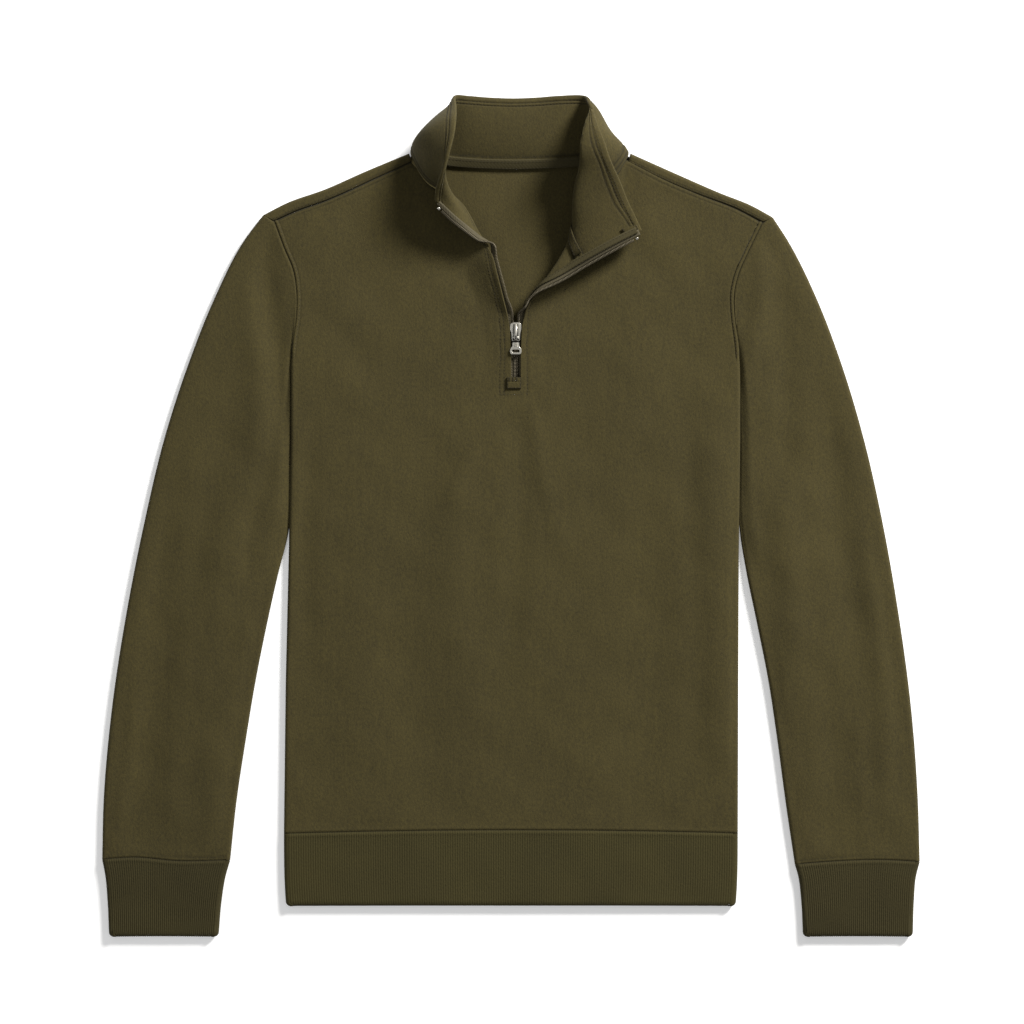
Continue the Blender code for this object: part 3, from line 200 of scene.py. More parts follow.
COLLAR = table(  # from the wearer's right front edge round the back: seam, two bend controls, top edge
    "seam_x seam_y seam_z low_x low_y low_z high_x high_y high_z top_x top_y top_z",
    (-21.0, 251.3, 13.5, -35.3, 260.6, 20.5, -51.3, 274.4, 27.3, -69.2, 292.7, 34.0),
    (-30.0, 264.5, 11.0, -41.7, 272.8, 21.7, -54.5, 285.1, 30.7, -68.6, 301.2, 38.0),
    (-37.0, 278.0, 9.5, -49.0, 286.0, 24.5, -58.4, 297.2, 36.3, -65.3, 311.6, 45.0),
    (-45.5, 291.0, 9.0, -56.8, 297.7, 27.7, -62.2, 308.4, 41.7, -61.5, 323.2, 51.0),
    (-60.0, 303.0, 9.0, -68.0, 309.7, 31.0, -67.0, 320.8, 46.0, -57.1, 336.5, 54.0),
    (-79.4, 315.4, 8.5, -82.5, 325.1, 30.8, -73.8, 337.2, 45.3, -53.4, 351.5, 52.0),
    (-92.5, 340.2, 5.0, -92.0, 351.4, 24.3, -78.4, 360.4, 37.3, -51.7, 367.3, 44.0),
    (-77.5, 333.9, 2.4, -79.9, 362.2, 6.8, -71.3, 377.7, 15.3, -51.7, 380.4, 28.0),
    (-58.7, 329.7, 1.8, -61.2, 352.2, 5.3, -58.9, 372.8, 9.0, -52.0, 391.6, 13.0),
    (-42.7, 328.3, 1.8, -43.9, 349.5, 7.9, -42.6, 370.6, 10.7, -38.9, 391.6, 10.0),
    (-22.5, 327.4, 1.8, -22.8, 347.8, 9.3, -22.3, 368.8, 11.7, -21.1, 390.3, 9.0),
    (2.3, 326.9, 1.8, 2.3, 347.6, 9.9, 2.3, 368.4, 12.3, 2.3, 389.4, 9.0),
    (27.2, 327.4, 1.8, 27.5, 347.8, 9.3, 27.0, 368.8, 11.7, 25.8, 390.3, 9.0),
    (47.4, 328.3, 1.8, 48.6, 349.5, 7.9, 47.3, 370.6, 10.7, 43.6, 391.6, 10.0),
    (69.0, 329.7, 1.8, 72.7, 352.2, 5.3, 72.5, 372.8, 9.0, 68.3, 391.6, 13.0),
    (90.6, 333.9, 2.4, 96.0, 362.0, 8.0, 79.0, 385.0, 22.0, 73.5, 383.0, 29.0),
    (109.3, 340.2, 5.0, 107.0, 352.0, 24.0, 49.0, 369.0, 44.0, 79.0, 364.5, 37.0),
    (101.7, 323.9, 8.0, 92.0, 335.0, 38.0, 37.0, 343.0, 44.0, 85.5, 347.0, 40.0),
    (90.4, 306.9, 9.0, 54.6, 315.0, 27.0, 54.9, 322.7, 36.7, 91.4, 330.0, 38.0),
    (76.4, 288.1, 10.0, 47.5, 294.0, 26.0, 55.3, 302.0, 33.3, 100.0, 312.0, 32.0),
    (63.2, 271.9, 12.5, 50.5, 280.6, 26.2, 65.3, 288.0, 30.7, 107.6, 294.0, 26.0),
    (55.6, 255.7, 16.5, 64.1, 266.2, 24.8, 84.0, 273.8, 26.7, 115.2, 278.6, 22.0),
    (63.1, 233.1, 19.0, 81.0, 244.0, 23.0, 100.5, 254.9, 22.7, 121.5, 265.8, 18.0),
)
STATIONS = len(COLLAR["seam_x"]) - 1
NECK_STATIONS = {
    "right": {"edge": 0, "base": 3, "seam": 5.6, "fold": 6},
    "left": {"edge": STATIONS, "base": STATIONS - 3, "seam": STATIONS - 5.6, "fold": STATIONS - 6},
}
NECK_TAPE = (7.4, STATIONS - 7.4)
CREASES = table(  # soft ridges (+) and troughs (-) of the cloth that lies uppermost
    "start_x start_y end_x end_y half_width rise",
    (174, 100, 172, -235, 15, -1.7),
    (191, 100, 190, -250, 27, 2.3),
    (118, 60, 128, -270, 26, -0.9),
    (-48, 95, -42, -190, 20, 1.1),
    (-92, 40, -84, -260, 22, -0.7),
    (-140, 60, -150, -240, 20, 0.6),
    (-186, 90, -192, -150, 10, -0.8),
    (-4, 108, -62, 10, 8, 0.7),
    (14, 104, 52, -30, 9, 0.6),
    (6, 100, 2, -150, 12, -0.8),
    (60, 150, 92, -60, 20, -0.6),
    (108, 190, 118, -60, 22, 0.7),
    (-196, 210, -120, 120, 12, -0.6),
    (204, 205, 140, 120, 13, -0.7),
    (-96, 300, -150, 190, 18, -0.6),
    (130, 290, 165, 200, 18, 0.6),
    (-228, 262, -216, 60, 12, -1.6),
    (-246, 215, -236, 40, 12, 0.9),
    (-262, 120, -300, -120, 14, -0.9),
    (-262, 30, -284, -300, 24, 1.5),
    (268, 20, 286, -300, 24, 1.1),
    (-316, 40, -352, -300, 20, -1.1),
    (-300, -60, -318, -300, 14, 0.8),
    (-244, -60, -280, -300, 14, 0.7),
    (-352, -150, -368, -310, 8, 0.7),
    (-224, 60, -252, -60, 9, -0.8),
    (238, 255, 222, 120, 10, 1.1),
    (262, 210, 250, 20, 13, -1.0),
    (262, 40, 258, -190, 15, 1.2),
    (305, 100, 318, -140, 16, -1.3),
    (338, -10, 352, -290, 12, 1.0),
    (300, -140, 296, -315, 14, -0.8),
    (330, -180, 330, -320, 9, 0.5),
)
RIPPLES = table(  # long low waves: how many mm to a wave, its heading, its height
    "wave heading rise",
    (92.0, 0.3, 0.22),
    (61.0, 1.2, 0.15),
    (47.0, 2.2, 0.12),
    (33.0, 0.8, 0.08),
    (27.0, 2.8, 0.06),
)

# Zip
TAPE_DROP = COLLAR_HALF + 1.0
FACING_DROP = TAPE_DROP + TRIM_WALL + 0.6
TAPE_HIDDEN = 3.0
TEETH_SPREAD = 1.7
OPEN_REACH = {"right": 2.7, "left": 4.3}
CHAIN_HALF = 1.25
SLIDER_LOW_Y, SLIDER_HIGH_Y = 163.6, 181.0
HINGE_Y = 166.9
EDGE_AT_SLIDER_Z = 8.5
LEAF_SAMPLES = 17
CORNER_EASE = 1.3
TEETH_TO_TAPE = 0.45
TOOTH_PITCH = 1.3
TEETH_END = 0.962  # share of the opening's edge that has teeth, under the top stops
SLIDER_HALVES = (  # half width and share of its length, from its low end
    (3.2, 0.0), (3.8, 0.06), (4.0, 0.3), (5.0, 0.55), (5.6, 0.7), (5.2, 0.86), (3.8, 0.96), (2.2, 1.0),
)
SLIDER_PLATES = ((7.3, 8.25, 0.32, 3), (3.6, 4.5, 0.3, 2))  # low and high faces, rim and its steps
SLIDER_POST = ((0.6, 174.6), (1.3, 179.2), (0.9, 180.4))  # half width and y
POST_FACES = (4.0, 7.8)
BOW_HALF = 1.25
BOW_OUTER = (  # y and height, from the high end over to the low one
    (180.0, 7.9), (178.6, 9.6), (175.4, 11.2), (171.0, 12.1), (165.8, 12.15), (164.3, 11.4),
    (163.8, 9.9), (163.8, 7.9),
)
BOW_INNER = (
    (164.9, 7.9), (164.9, 9.8), (165.4, 11.0), (170.6, 11.1), (172.6, 10.2), (173.6, 8.9), (174.0, 7.9),
)
PULL_MIDDLE_Z = 10.1
PULL_HALF_THICK = 0.65
PULL_NECK_HALF = 3.1
PULL_HALVES = (  # half width and y, from under the eye to the low end
    (3.1, 162.6), (3.1, 160.5), (3.3, 158.6), (4.6, 156.9), (5.2, 155.6), (5.2, 152.6), (4.6, 151.4),
    (3.6, 151.0),
)
EYE_HALF, EYE_LOW_Y = 1.55, 162.5
PULL_RIBS, PULL_RIB_TOP_Y, PULL_RIB_PITCH, PULL_RIB_HALF = 7, 161.7, 0.55, 2.0
SLOT_Y, SLOT_HALF, SLOT_RADIUS = 154.1, 3.6, 1.35
SLIDER_PAINTED_SHADE = (  # painted shade in the slider's hollows and under its bow: half width left unshaded, half width, low and high ends, top
    (1.3, 2.3, 167.6, 179.4, 9.6),
    (0.0, 3.0, 164.9, 167.3, 9.4),
    (0.0, 0.7, 165.0, 168.6, 14.0),
)
# painted shadow of the slider over the pull's eye, legs and bar, in the same columns
PULL_PAINTED_SHADE = ((0.0, 3.6, 162.0, 163.9, 12.0), (0.0, 6.0, 164.2, 166.0, 12.0))
STOP_SHARES = (0.969, 0.978, 0.987)
STOP_SIZE = (2.9, 2.4, 2.6)
PATCH_WALL = 1.2
PATCH_BAR_Y = 125.6  # the groove over its bar of stitches
PATCH_BARS = range(12, 18)  # rows of its grid with a bar stitch
PATCH_RIGHT_X, PATCH_LEFT_X = -3.3, 9.9
PATCH_LOW_Y, PATCH_HIGH_Y = 119.0, 129.7

# Stitching
STITCH_LONG = 2.5
STITCH_GAP = 0.75
STITCH_RADIUS = 0.24
ARMHOLE_STITCH = 3.4
SHOULDER_STITCH = 2.2
COLLAR_STITCHES = (3.8, 6.4)  # below the top edge
COLLAR_ROLLS = ((1.9, 1.2, 0.35), (5.1, 0.8, 0.3))  # how far down, half width and how full
PLACKET_STITCH = {"right": (10.6, 6.4), "left": (6.5,)}
PLACKET_FOOT = 6.4  # its stitching across, below the slit's end
PLACKET_FOOT_X = (-10.2, 15.5)

# ------------------------------------------------------------------------------------- light, tones

KEY_PLACE, KEY_SIZE, KEY_POWER, KEY_TONE = (2.7, 3.05, 2.05), 1.4, 475.0, (1.0, 0.985, 0.955)
FILL_PLACE, FILL_SIZE, FILL_POWER, FILL_TONE = (-1.6, -0.6, 2.6), 1.8, 15.0, (0.97, 0.985, 1.0)
CAMERA_PLACE = (0.0014, 0.0033, 3.0)
LENS, SENSOR = 112.2, 36.0
FLOOR_HALF, FLOOR_GAP = 4.0, 0.0002
ROOM_LIGHT = 0.25
FLOOR_TONE = 0.9
FLOOR_GLOW = 0.32
SHEEN = 0.03
SHEEN_TINT = (0.8, 0.78, 0.6, 1.0)


def colour(red, green, blue):
    """A display colour, 0 to 255 a channel, as the linear colour a shader takes."""
    linear = [((c / 255 + 0.055) / 1.055) ** 2.4 if c > 10 else c / 255 / 12.92 for c in (red, green, blue)]
    return (*linear, 1.0)


BODY_TONE = colour(58, 51, 23)
INSIDE_TONE = colour(57, 50, 22)
RIB_TONE = colour(52, 47, 22)
CUFF_TONE = colour(48, 43, 21)
TAPE_TONE = colour(70, 64, 46)
BINDING_TONE = colour(54, 48, 23)
THREAD_TONE = colour(47, 41, 21)
GUNMETAL = colour(92, 85, 68)
NICKEL = colour(206, 202, 190)


# ------------------------------------------------------------------------------- lines and surfaces


def curve(rows, even=False):
    """A smooth line through the rows: a function of shares from 0 to 1, along its length or by row."""
    rows = np.asarray(rows, float)
    steps = np.linalg.norm(np.diff(rows, axis=0), axis=1)
    if even:
        steps = np.ones(len(rows) - 1)
    at = np.concatenate([[0.0], np.cumsum(steps)]) / steps.sum()
    slopes = np.gradient(rows, at, axis=0)

    def place(share):
        share = np.clip(np.asarray(share, float), 0.0, 1.0)
        i = np.minimum(np.searchsorted(at, share, side="right") - 1, len(at) - 2)
        step = (at[i + 1] - at[i])[..., None]
        s = (share - at[i])[..., None] / step
        rise = s * s * (3 - 2 * s)
        leaving = slopes[i] * step * s * (1 - s) ** 2
        arriving = slopes[i + 1] * step * s * s * (1 - s)
        return rows[i] * (1 - rise) + rows[i + 1] * rise + leaving - arriving

    return place


def length(place, steps=60):
    """A line's length."""
    spots = place(np.linspace(0, 1, steps + 1))
    return float(np.linalg.norm(np.diff(spots, axis=0), axis=1).sum())


def patch(low, high, start, end, u, v):
    """Points of the surface between four lines: low and high run along u, start and end along v."""
    u, v = np.broadcast_arrays(u, v)
    a, b = u[..., None], v[..., None]
    zero, one = np.array(0.0), np.array(1.0)
    corners = (1 - a) * (1 - b) * low(zero) + a * (1 - b) * low(one)
    corners = corners + (1 - a) * b * high(zero) + a * b * high(one)
    return (1 - b) * low(u) + b * high(u) + (1 - a) * start(v) + a * end(v) - corners


def unit(vectors):
    return vectors / np.maximum(np.linalg.norm(vectors, axis=-1, keepdims=True), 1e-9)


def hump(value, at, half):
    """A smooth bell of height 1 over at, about half wide on each side."""
    return np.exp(-(((value - at) / half) ** 2))


def soft_step(value):
    value = np.clip(value, 0.0, 1.0)
    return value * value * (3 - 2 * value)


def spread(total, first, most, ends=(True, True)):
    """Shares along total mm, in steps that grow from first at the chosen ends to most."""
    places = [0.0]
    while places[-1] < total:
        here = places[-1]
        near = min(here if ends[0] else total, total - here if ends[1] else total)
        places.append(here + min(most, first + 0.16 * near))
    return np.array(places) / places[-1]


def lengths_along(rows, axis):
    """How far each point of a grid lies along that axis, in mm, from its first row."""
    steps = np.linalg.norm(np.diff(rows, axis=axis), axis=-1)
    start = np.zeros_like(np.take(steps, [0], axis=axis))
    return np.concatenate([start, np.cumsum(steps, axis=axis)], axis=axis)


def from_edge(rows, axis, last=False):
    """Each point's distance from the grid's first or last row along that axis."""
    along = lengths_along(rows, axis)
    return np.take(along, [-1], axis=axis) - along if last else along


def side_points(rows, side):
    return points(rows, side + "_x", side + "_y")


def hem_y(x):
    """The hem seam, which sags a little in the middle."""
    return HEM_SEAM_Y - HEM_SAG * ((x - CENTRE_X) / 210) ** 2


def side_line(side):
    """A side fold's outline as a function of y."""
    return lambda y: np.interp(y, SIDES["y"], SIDES[side])


def creased(x, y):
    """Height of the soft ridges, troughs and ripples at places on the plan."""
    spot = np.stack([x, y], axis=-1)
    height = np.zeros_like(x)
    for start_x, start_y, end_x, end_y, half, rise in zip(*CREASES.values()):
        start = np.array([start_x, start_y])
        run = np.array([end_x, end_y]) - start
        tall = np.linalg.norm(run)
        along = (spot - start) @ run / tall**2
        across = (spot - start) @ np.array([-run[1], run[0]]) / tall
        wander = CREASE_WANDER * half * np.sin(along * 5.0 + start_x)
        past = along + CREASE_PAST, 1 + CREASE_PAST - along
        ends = soft_step(past[0] / CREASE_FADE) * soft_step(past[1] / CREASE_FADE)
        height += CREASE * rise * ends * hump(across, wander, half)
    for wave, heading, rise in zip(*RIPPLES.values()):
        way = np.array([math.cos(heading), math.sin(heading)])
        height += rise * np.sin(2 * math.pi * (spot @ way) / wave + heading * 7)
    return height


def sunk(distance, stitches=()):
    """How far the cloth dips at a distance from its seam, and under rows of stitches."""
    dip = 0.22 * hump(distance, 2.2, 1.1) - 1.15 * hump(distance, 0, 0.85)
    for at in stitches:
        dip = dip - 0.5 * hump(distance, at, 0.7)
    return dip


TIP_SHARE = FOLD_MID / length(curve(side_points(SHOULDER_FOLDS, "right")))
COLLAR_LINES = [
    curve(points(COLLAR, f"{place}_x", f"{place}_y", f"{place}_z"), even=True)
    for place in ("seam", "low", "high", "top")
]


def collar_point(station, share):
    """The collar's middle surface: station along the neck seam, share from the seam to the top edge."""
    station, share = np.broadcast_arrays(station, share)
    seam, low, high, top = (line(station / STATIONS) for line in COLLAR_LINES)
    s = share[..., None]
    foot = (1 - s) ** 3 * seam + 3 * (1 - s) ** 2 * s * low
    return foot + 3 * (1 - s) * s**2 * high + s**3 * top


def collar_normal(station, share):
    """Out of the wearer's neck, square to the collar."""
    near, far = np.maximum(station - 0.1, 0), np.minimum(station + 0.1, STATIONS)
    under, over = np.maximum(share - 0.05, 0), np.minimum(share + 0.05, 1)
    along = collar_point(far, share) - collar_point(near, share)
    return unit(np.cross(collar_point(station, over) - collar_point(station, under), along))


def neck_seam(stations):
    """Places on the seam between the body and the collar."""
    return COLLAR_LINES[0](np.asarray(stations) / STATIONS)


def trim_to_collar(edge, inside, stations):
    """Draws a panel's neck edge back so that it meets the collar's foot without running into it."""
    along = unit(np.gradient(edge, axis=0))
    back = inside - edge
    away = unit(back - along * (back * along).sum(axis=-1, keepdims=True))
    foot = unit(COLLAR_LINES[1](stations / STATIONS) - neck_seam(stations))
    gap = SEAM + COLLAR_HALF * np.linalg.norm(np.cross(foot, away), axis=-1)
    return edge + away * gap[:, None]


# ---------------------------------------------------------------------------------- making meshes


def cloth(name, rows, wall, finish, left_out=None, ring=False, marks=None, body="garment"):
    """A piece of cloth from its grid of points [column, row], with half its wall on each side.

    It gets a UV map in metres across and along the cloth, and each of marks as a number on its points.
    """
    columns, steps = rows.shape[0] - 1, rows.shape[1] - 1
    bm = bmesh.new()
    uv = bm.loops.layers.uv.new("cloth")
    layers = {key: bm.verts.layers.float.new(key) for key in marks or {}}
    bmesh.ops.create_grid(bm, x_segments=columns, y_segments=steps, size=0.5)
    across = lengths_along(rows, 0).mean(axis=1) * MM
    along = lengths_along(rows, 1).mean(axis=0) * MM
    spots = {v: (round((v.co.x + 0.5) * columns), round((v.co.y + 0.5) * steps)) for v in bm.verts}
    gone = []
    for face in bm.faces:
        cells = [spots[v] for v in face.verts]
        if left_out is not None and left_out[min(i for i, _ in cells), min(j for _, j in cells)]:
            gone.append(face)
        for loop in face.loops:
            i, j = spots[loop.vert]
            loop[uv].uv = (across[i], along[j])
    for vertex, (i, j) in spots.items():
        vertex.co = Vector(rows[i, j]) * MM
        for key, layer in layers.items():
            vertex[layer] = marks[key][i, j]
    bmesh.ops.delete(bm, geom=gone, context="FACES")
    if ring:
        bmesh.ops.remove_doubles(bm, verts=bm.verts, dist=1e-7)
    made = add_piece(name, bm, finish, body)
    shell = made.modifiers.new("wall", "SOLIDIFY")
    shell.thickness = wall * MM
    shell.offset = 0.0
    shell.use_even_offset = False
    return made


def add_piece(name, bm, finish, body="garment"):
    """Makes the object, gives it its finish and lets it ride on its body."""
    mesh = bpy.data.meshes.new(name)
    bm.to_mesh(mesh)
    bm.free()
    mesh.shade_smooth()
    mesh.set_sharp_from_angle(angle=math.radians(55))
    made = bpy.data.objects.new(name, mesh)
    made.data.materials.append(finish)
    bpy.context.scene.collection.objects.link(made)
    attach(made, body)
    return made


def inset_line(rows, distance):
    """The line at a distance from the grid's first row, [points, normals], rows running inward."""
    reach = lengths_along(rows, 1)
    spots, inward = [], []
    for line, at in zip(rows, reach):
        spots.append(between(distance, at, line))
        inward.append(between(distance + 0.8, at, line))
    spots = np.array(spots)
    along = np.gradient(spots, axis=0)
    return spots, unit(np.cross(along, np.array(inward) - spots))


def between(share, at, rows):
    """The row at share, between rows that lie at the values of at."""
    return np.array([np.interp(share, at, column) for column in rows.T])


def set_at(place, *ways):
    """The matrix that sets a shape at a place, its axes along three ways."""
    turn = Matrix([[*row] for row in np.array(ways).T]).to_4x4()
    turn.translation = Vector(place) * MM
    return turn


def stitches(name, lines, finish, lift):
    """Rows of short rounded stitches laid on lines of (points, normals), lift mm along the normals."""
    bm = bmesh.new()
    rng = random.Random(name)
    for spots, normals in lines:
        at = np.concatenate([[0.0], np.cumsum(np.linalg.norm(np.diff(spots, axis=0), axis=1))])
        for k in range(int(at[-1] / (STITCH_LONG + STITCH_GAP))):
            start = k * (STITCH_LONG + STITCH_GAP) + rng.uniform(-0.08, 0.08)
            middle = start + STITCH_LONG / 2
            ends = [between(s, at, spots) for s in (start, start + STITCH_LONG)]
            up = unit(between(middle, at, normals))
            way = unit(ends[1] - ends[0])
            side = np.cross(up, way)
            place = (ends[0] + ends[1]) / 2 + up * lift
            ways = np.array([way * STITCH_LONG / 2, side * STITCH_RADIUS, up * STITCH_RADIUS]) * MM
            bmesh.ops.create_icosphere(bm, subdivisions=1, radius=1.0, matrix=set_at(place, *ways))
    return add_piece(name, bm, finish)


# -------------------------------------------------------------------------------------------- front


def leaf_lines(side):
    """The three lines of the leaf that opens beside the zip: foot, crest and free edge."""
    leaf = LEAVES[side]
    base = curve(points(leaf, "base_x", "base_y"))
    crest = curve(points(leaf, "crest_x", "crest_y", "crest_z"))
    edge = curve(points(leaf, "edge_x", "edge_y", "edge_z"))
    return base, crest, edge


def side_roll(side, k, rising):
    """The step from the flat of a panel to its rolled side edge, k from 0 to 1, which ends upright."""
    radius = FOLD_RADIUS - ROLL_UPRIGHT
    angle = np.pi / 2 * np.minimum(k * 1.4, 1.0)
    upright = (FOLD_RADIUS - SEAM / 2 - radius) * np.clip((k * 1.4 - 1) / 0.4, 0, 1)
    fall = radius * (1 - np.cos(angle)) + upright
    reach = radius * np.sin(angle) + (FOLD_RADIUS - radius) * np.minimum(k * 1.4, 1)
    return np.stack([SIGN[side] * reach, 0 * k, fall * rising], axis=-1)


def front_half(side):
    """The half's points [column, row] from the slit's edge to the side, hem to shoulder."""
    sign, stations = SIGN[side], NECK_STATIONS[side]
    base = leaf_lines(side)[0]
    outline, armhole = side_line(side), curve(side_points(ARMHOLES, side))
    seam = curve(side_points(SHOULDER_SEAMS, side))
    inset = np.array([-sign * FOLD_MID, 0.0])
    split = HEM_TO_ARM
    start_low = np.array([base(0.0)[0], hem_y(base(0.0)[0])])
    end_low = np.array([outline(SIDES["y"][0]) + inset[0], hem_y(outline(SIDES["y"][0]))])

    def inner(v):
        low = start_low + (base(0.0) - start_low) * np.minimum(v / split, 1)[..., None]
        return np.where((v < split)[..., None], low, base((v - split) / (1 - split)))

    def outer(v):
        y = end_low[1] + (UNDERARM_Y - end_low[1]) * np.minimum(v / split, 1)
        low = np.stack([outline(y), y], axis=-1)
        return np.where((v < split)[..., None], low, armhole((v - split) / (1 - split))) + inset

    def neck_station(u):
        return stations["base"] + (stations["seam"] - stations["base"]) * np.minimum(u / NECK_SHARE, 1)

    def top(u):
        share = np.clip((u - NECK_SHARE) / (1 - NECK_SHARE), 0, 1)[..., None]
        end = seam(1 - TIP_SHARE)
        shoulder = seam(share[..., 0] * (1 - TIP_SHARE)) + (outer(np.array(1.0)) - end) * share
        return np.where((u <= NECK_SHARE)[..., None], neck_seam(neck_station(u))[..., :2], shoulder)

    def low(u):
        x = start_low[0] + (end_low[0] - start_low[0]) * u
        return np.stack([x, hem_y(x)], axis=-1)

    def neck_lift(u):
        seam_z = neck_seam(neck_station(u))[..., 2]
        return (seam_z - TOP_MID) * (1 - soft_step((u - NECK_SHARE) * 3))

    def ground(u, v):
        spot = patch(low, top, inner, outer, u, v)
        lift = soft_step((v - 0.62) / 0.38) ** 2 * neck_lift(u)
        return np.concatenate([spot, (TOP_MID + lift)[..., None]], axis=-1)

    rows_low = spread(SIDE_TALL, 0.9, 6.0) * split
    rows_up = split + spread(ARM_TALL, 0.9, 4.5, (False, True)) * (1 - split)
    v = np.concatenate([rows_low[:-1], rows_up])
    u = spread(HALF_WIDE, 0.9, 4.5, (False, True))
    w = spread(LEAF_WIDE, 0.7, 1.6, (True, False))[:-1]
    k = np.linspace(0, 1, 11)[1:]

    flat = ground(u[:, None], v[None, :])
    leaf, station = leaf_part(side, flat[0, :, 2], v, w)

    armhole_part = soft_step((flat[-1, :, 1] - UNDERARM_Y) / 14)[None, :, None]
    rolled = side_roll(side, k, -1)[:, None]
    straight = np.zeros_like(rolled)
    straight[..., 0] = sign * FOLD_MID * k[:, None]
    rolls = flat[-1][None] + rolled * (1 - armhole_part) + straight * armhole_part

    rows = np.concatenate([leaf, flat, rolls])
    neck = np.concatenate([station, neck_station(u[u <= NECK_SHARE])])
    last = len(neck)
    rows[:last, -1] = trim_to_collar(rows[:last, -1], rows[:last, -4], neck)
    shift = rows[:last, -1] - rows[:last, -2]
    rows[:last, -2] += shift * 0.5
    free, dip = edge_marks(rows, side, last, rows_low.size - 1)
    rows[..., 2] += creased(rows[..., 0], rows[..., 1]) * free + dip
    return rows, dip, len(w)


def leaf_part(side, z_base, v, w):
    """The leaf's points [column, row] and each column's station at the neck; z_base is its foot's height."""
    stations, split = NECK_STATIONS[side], HEM_TO_ARM
    base, crest, edge = leaf_lines(side)
    t = np.clip((v - split) / (1 - split), 0, 1)
    ww = w[:, None, None]
    foot = np.concatenate([base(t), z_base[:, None]], axis=-1)
    lifted = (1 - ww) ** 2 * edge(t) + 2 * ww * (1 - ww) * crest(t) + ww**2 * foot
    end = lifted[:, -1]
    station = stations["edge"] + (stations["base"] - stations["edge"]) * w
    lifted = lifted + (t**3)[None, :, None] * (neck_seam(station) - end)[:, None]
    x = edge(0.0)[0] + (base(0.0)[0] - edge(0.0)[0]) * w
    below = np.zeros_like(lifted)
    below[..., 0] = x[:, None]
    below[..., 1] = hem_y(x)[:, None] + (SLIT_LOW_Y - hem_y(x))[:, None] * np.minimum(v / split, 1)[None]
    rise = (edge(0.0)[2] - TOP_MID) * (1 - w) ** 2
    below[..., 2] = z_base[None] + rise[:, None] * soft_step(v / split * 3 - 2)[None]
    return np.where((v < split)[None, :, None], below, lifted), station


def edge_marks(rows, side, neck_last, underarm_row):
    """How far creases reach on the front half, and how far it dips at its seams and stitching."""
    top, hem = from_edge(rows, 1, last=True), from_edge(rows, 1)
    outer, inner = from_edge(rows, 0, last=True), from_edge(rows, 0)
    above = np.arange(rows.shape[1])[None] > underarm_row + 1
    armhole = np.where(above, outer, 99.0)
    dip = sunk(armhole, (ARMHOLE_STITCH,)) + sunk(hem)
    dip += np.where(np.arange(len(rows))[:, None] >= neck_last, sunk(top, (3.0,)), 0.6 * sunk(top, (2.6,)))
    placket = soft_step((rows[..., 1] - SLIT_LOW_Y + 7.6) / 1.2)
    for at in PLACKET_STITCH[side]:
        dip -= 0.45 * placket * hump(inner, at, 0.75)
    box_foot = hump(rows[..., 1], SLIT_LOW_Y - PLACKET_FOOT, 0.75)
    dip -= 0.45 * box_foot * (inner < PLACKET_STITCH[side][0] + 0.5)
    near = np.minimum(np.minimum(top, hem), armhole)
    lifted = above * (1 - soft_step((inner - 12) / 40))
    free = soft_step(near / 14) * soft_step((outer - 1.5) / 10) * (1 - lifted)
    return free, dip


def front_panel(finish):
    """Both halves in one piece, joined below the slit."""
    right, right_dip, _ = FRONT["right"]
    left, left_dip, _ = FRONT["left"]
    rows = np.concatenate([right[::-1], left])
    dip = np.concatenate([right_dip[::-1], left_dip])
    middle, slit_row = len(right) - 1, int(np.argmin(np.abs(left[0, :, 1] - SLIT_LOW_Y)))
    left_out = np.zeros(rows.shape[:2], bool)
    left_out[middle, slit_row:] = True
    # the dip mark paints shade into the seams and stitch grooves
    return cloth("front_panel", rows, WALL, finish, left_out, marks={"dip": -dip})


# --------------------------------------------------------------------------------------------- back


def back_armhole(side):
    """The back's armhole line, which lies a little inside the sleeve."""
    front = side_points(ARMHOLES, side)
    fold = curve(side_points(SHOULDER_FOLDS, side))(1.0)
    rows = front.copy()
    rows[-1] = fold + unit(front[-1] - fold) * FOLD_MID
    rows[:, 0] += SIGN[side] * 5.0 * np.sin(math.pi * np.linspace(0, 1, len(rows)))
    return curve(rows)


def shoulder_wrap(fold, seam):
    """From the back's flat over the shoulder's fold and along the top to the seam with the front."""
    inward, width = unit(seam - fold), np.linalg.norm(seam - fold)
    angle = np.pi * np.arange(1, FOLD_STEPS + 1) / FOLD_STEPS
    turn = fold + inward * (FOLD_MID - FOLD_RADIUS * np.sin(angle))[:, None]
    bend = np.column_stack([turn, FOLD_MID - FOLD_RADIUS * np.cos(angle)])
    share = np.linspace(0, 1, SHOULDER_WRAP_ROWS - FOLD_STEPS + 1)[1:]
    over = FOLD_MID + (width - SEAM - FOLD_MID) * share
    dips = sunk(width - over, (SHOULDER_STITCH,))
    return np.concatenate([bend, np.column_stack([fold + inward * over[:, None], TOP_MID + dips])])


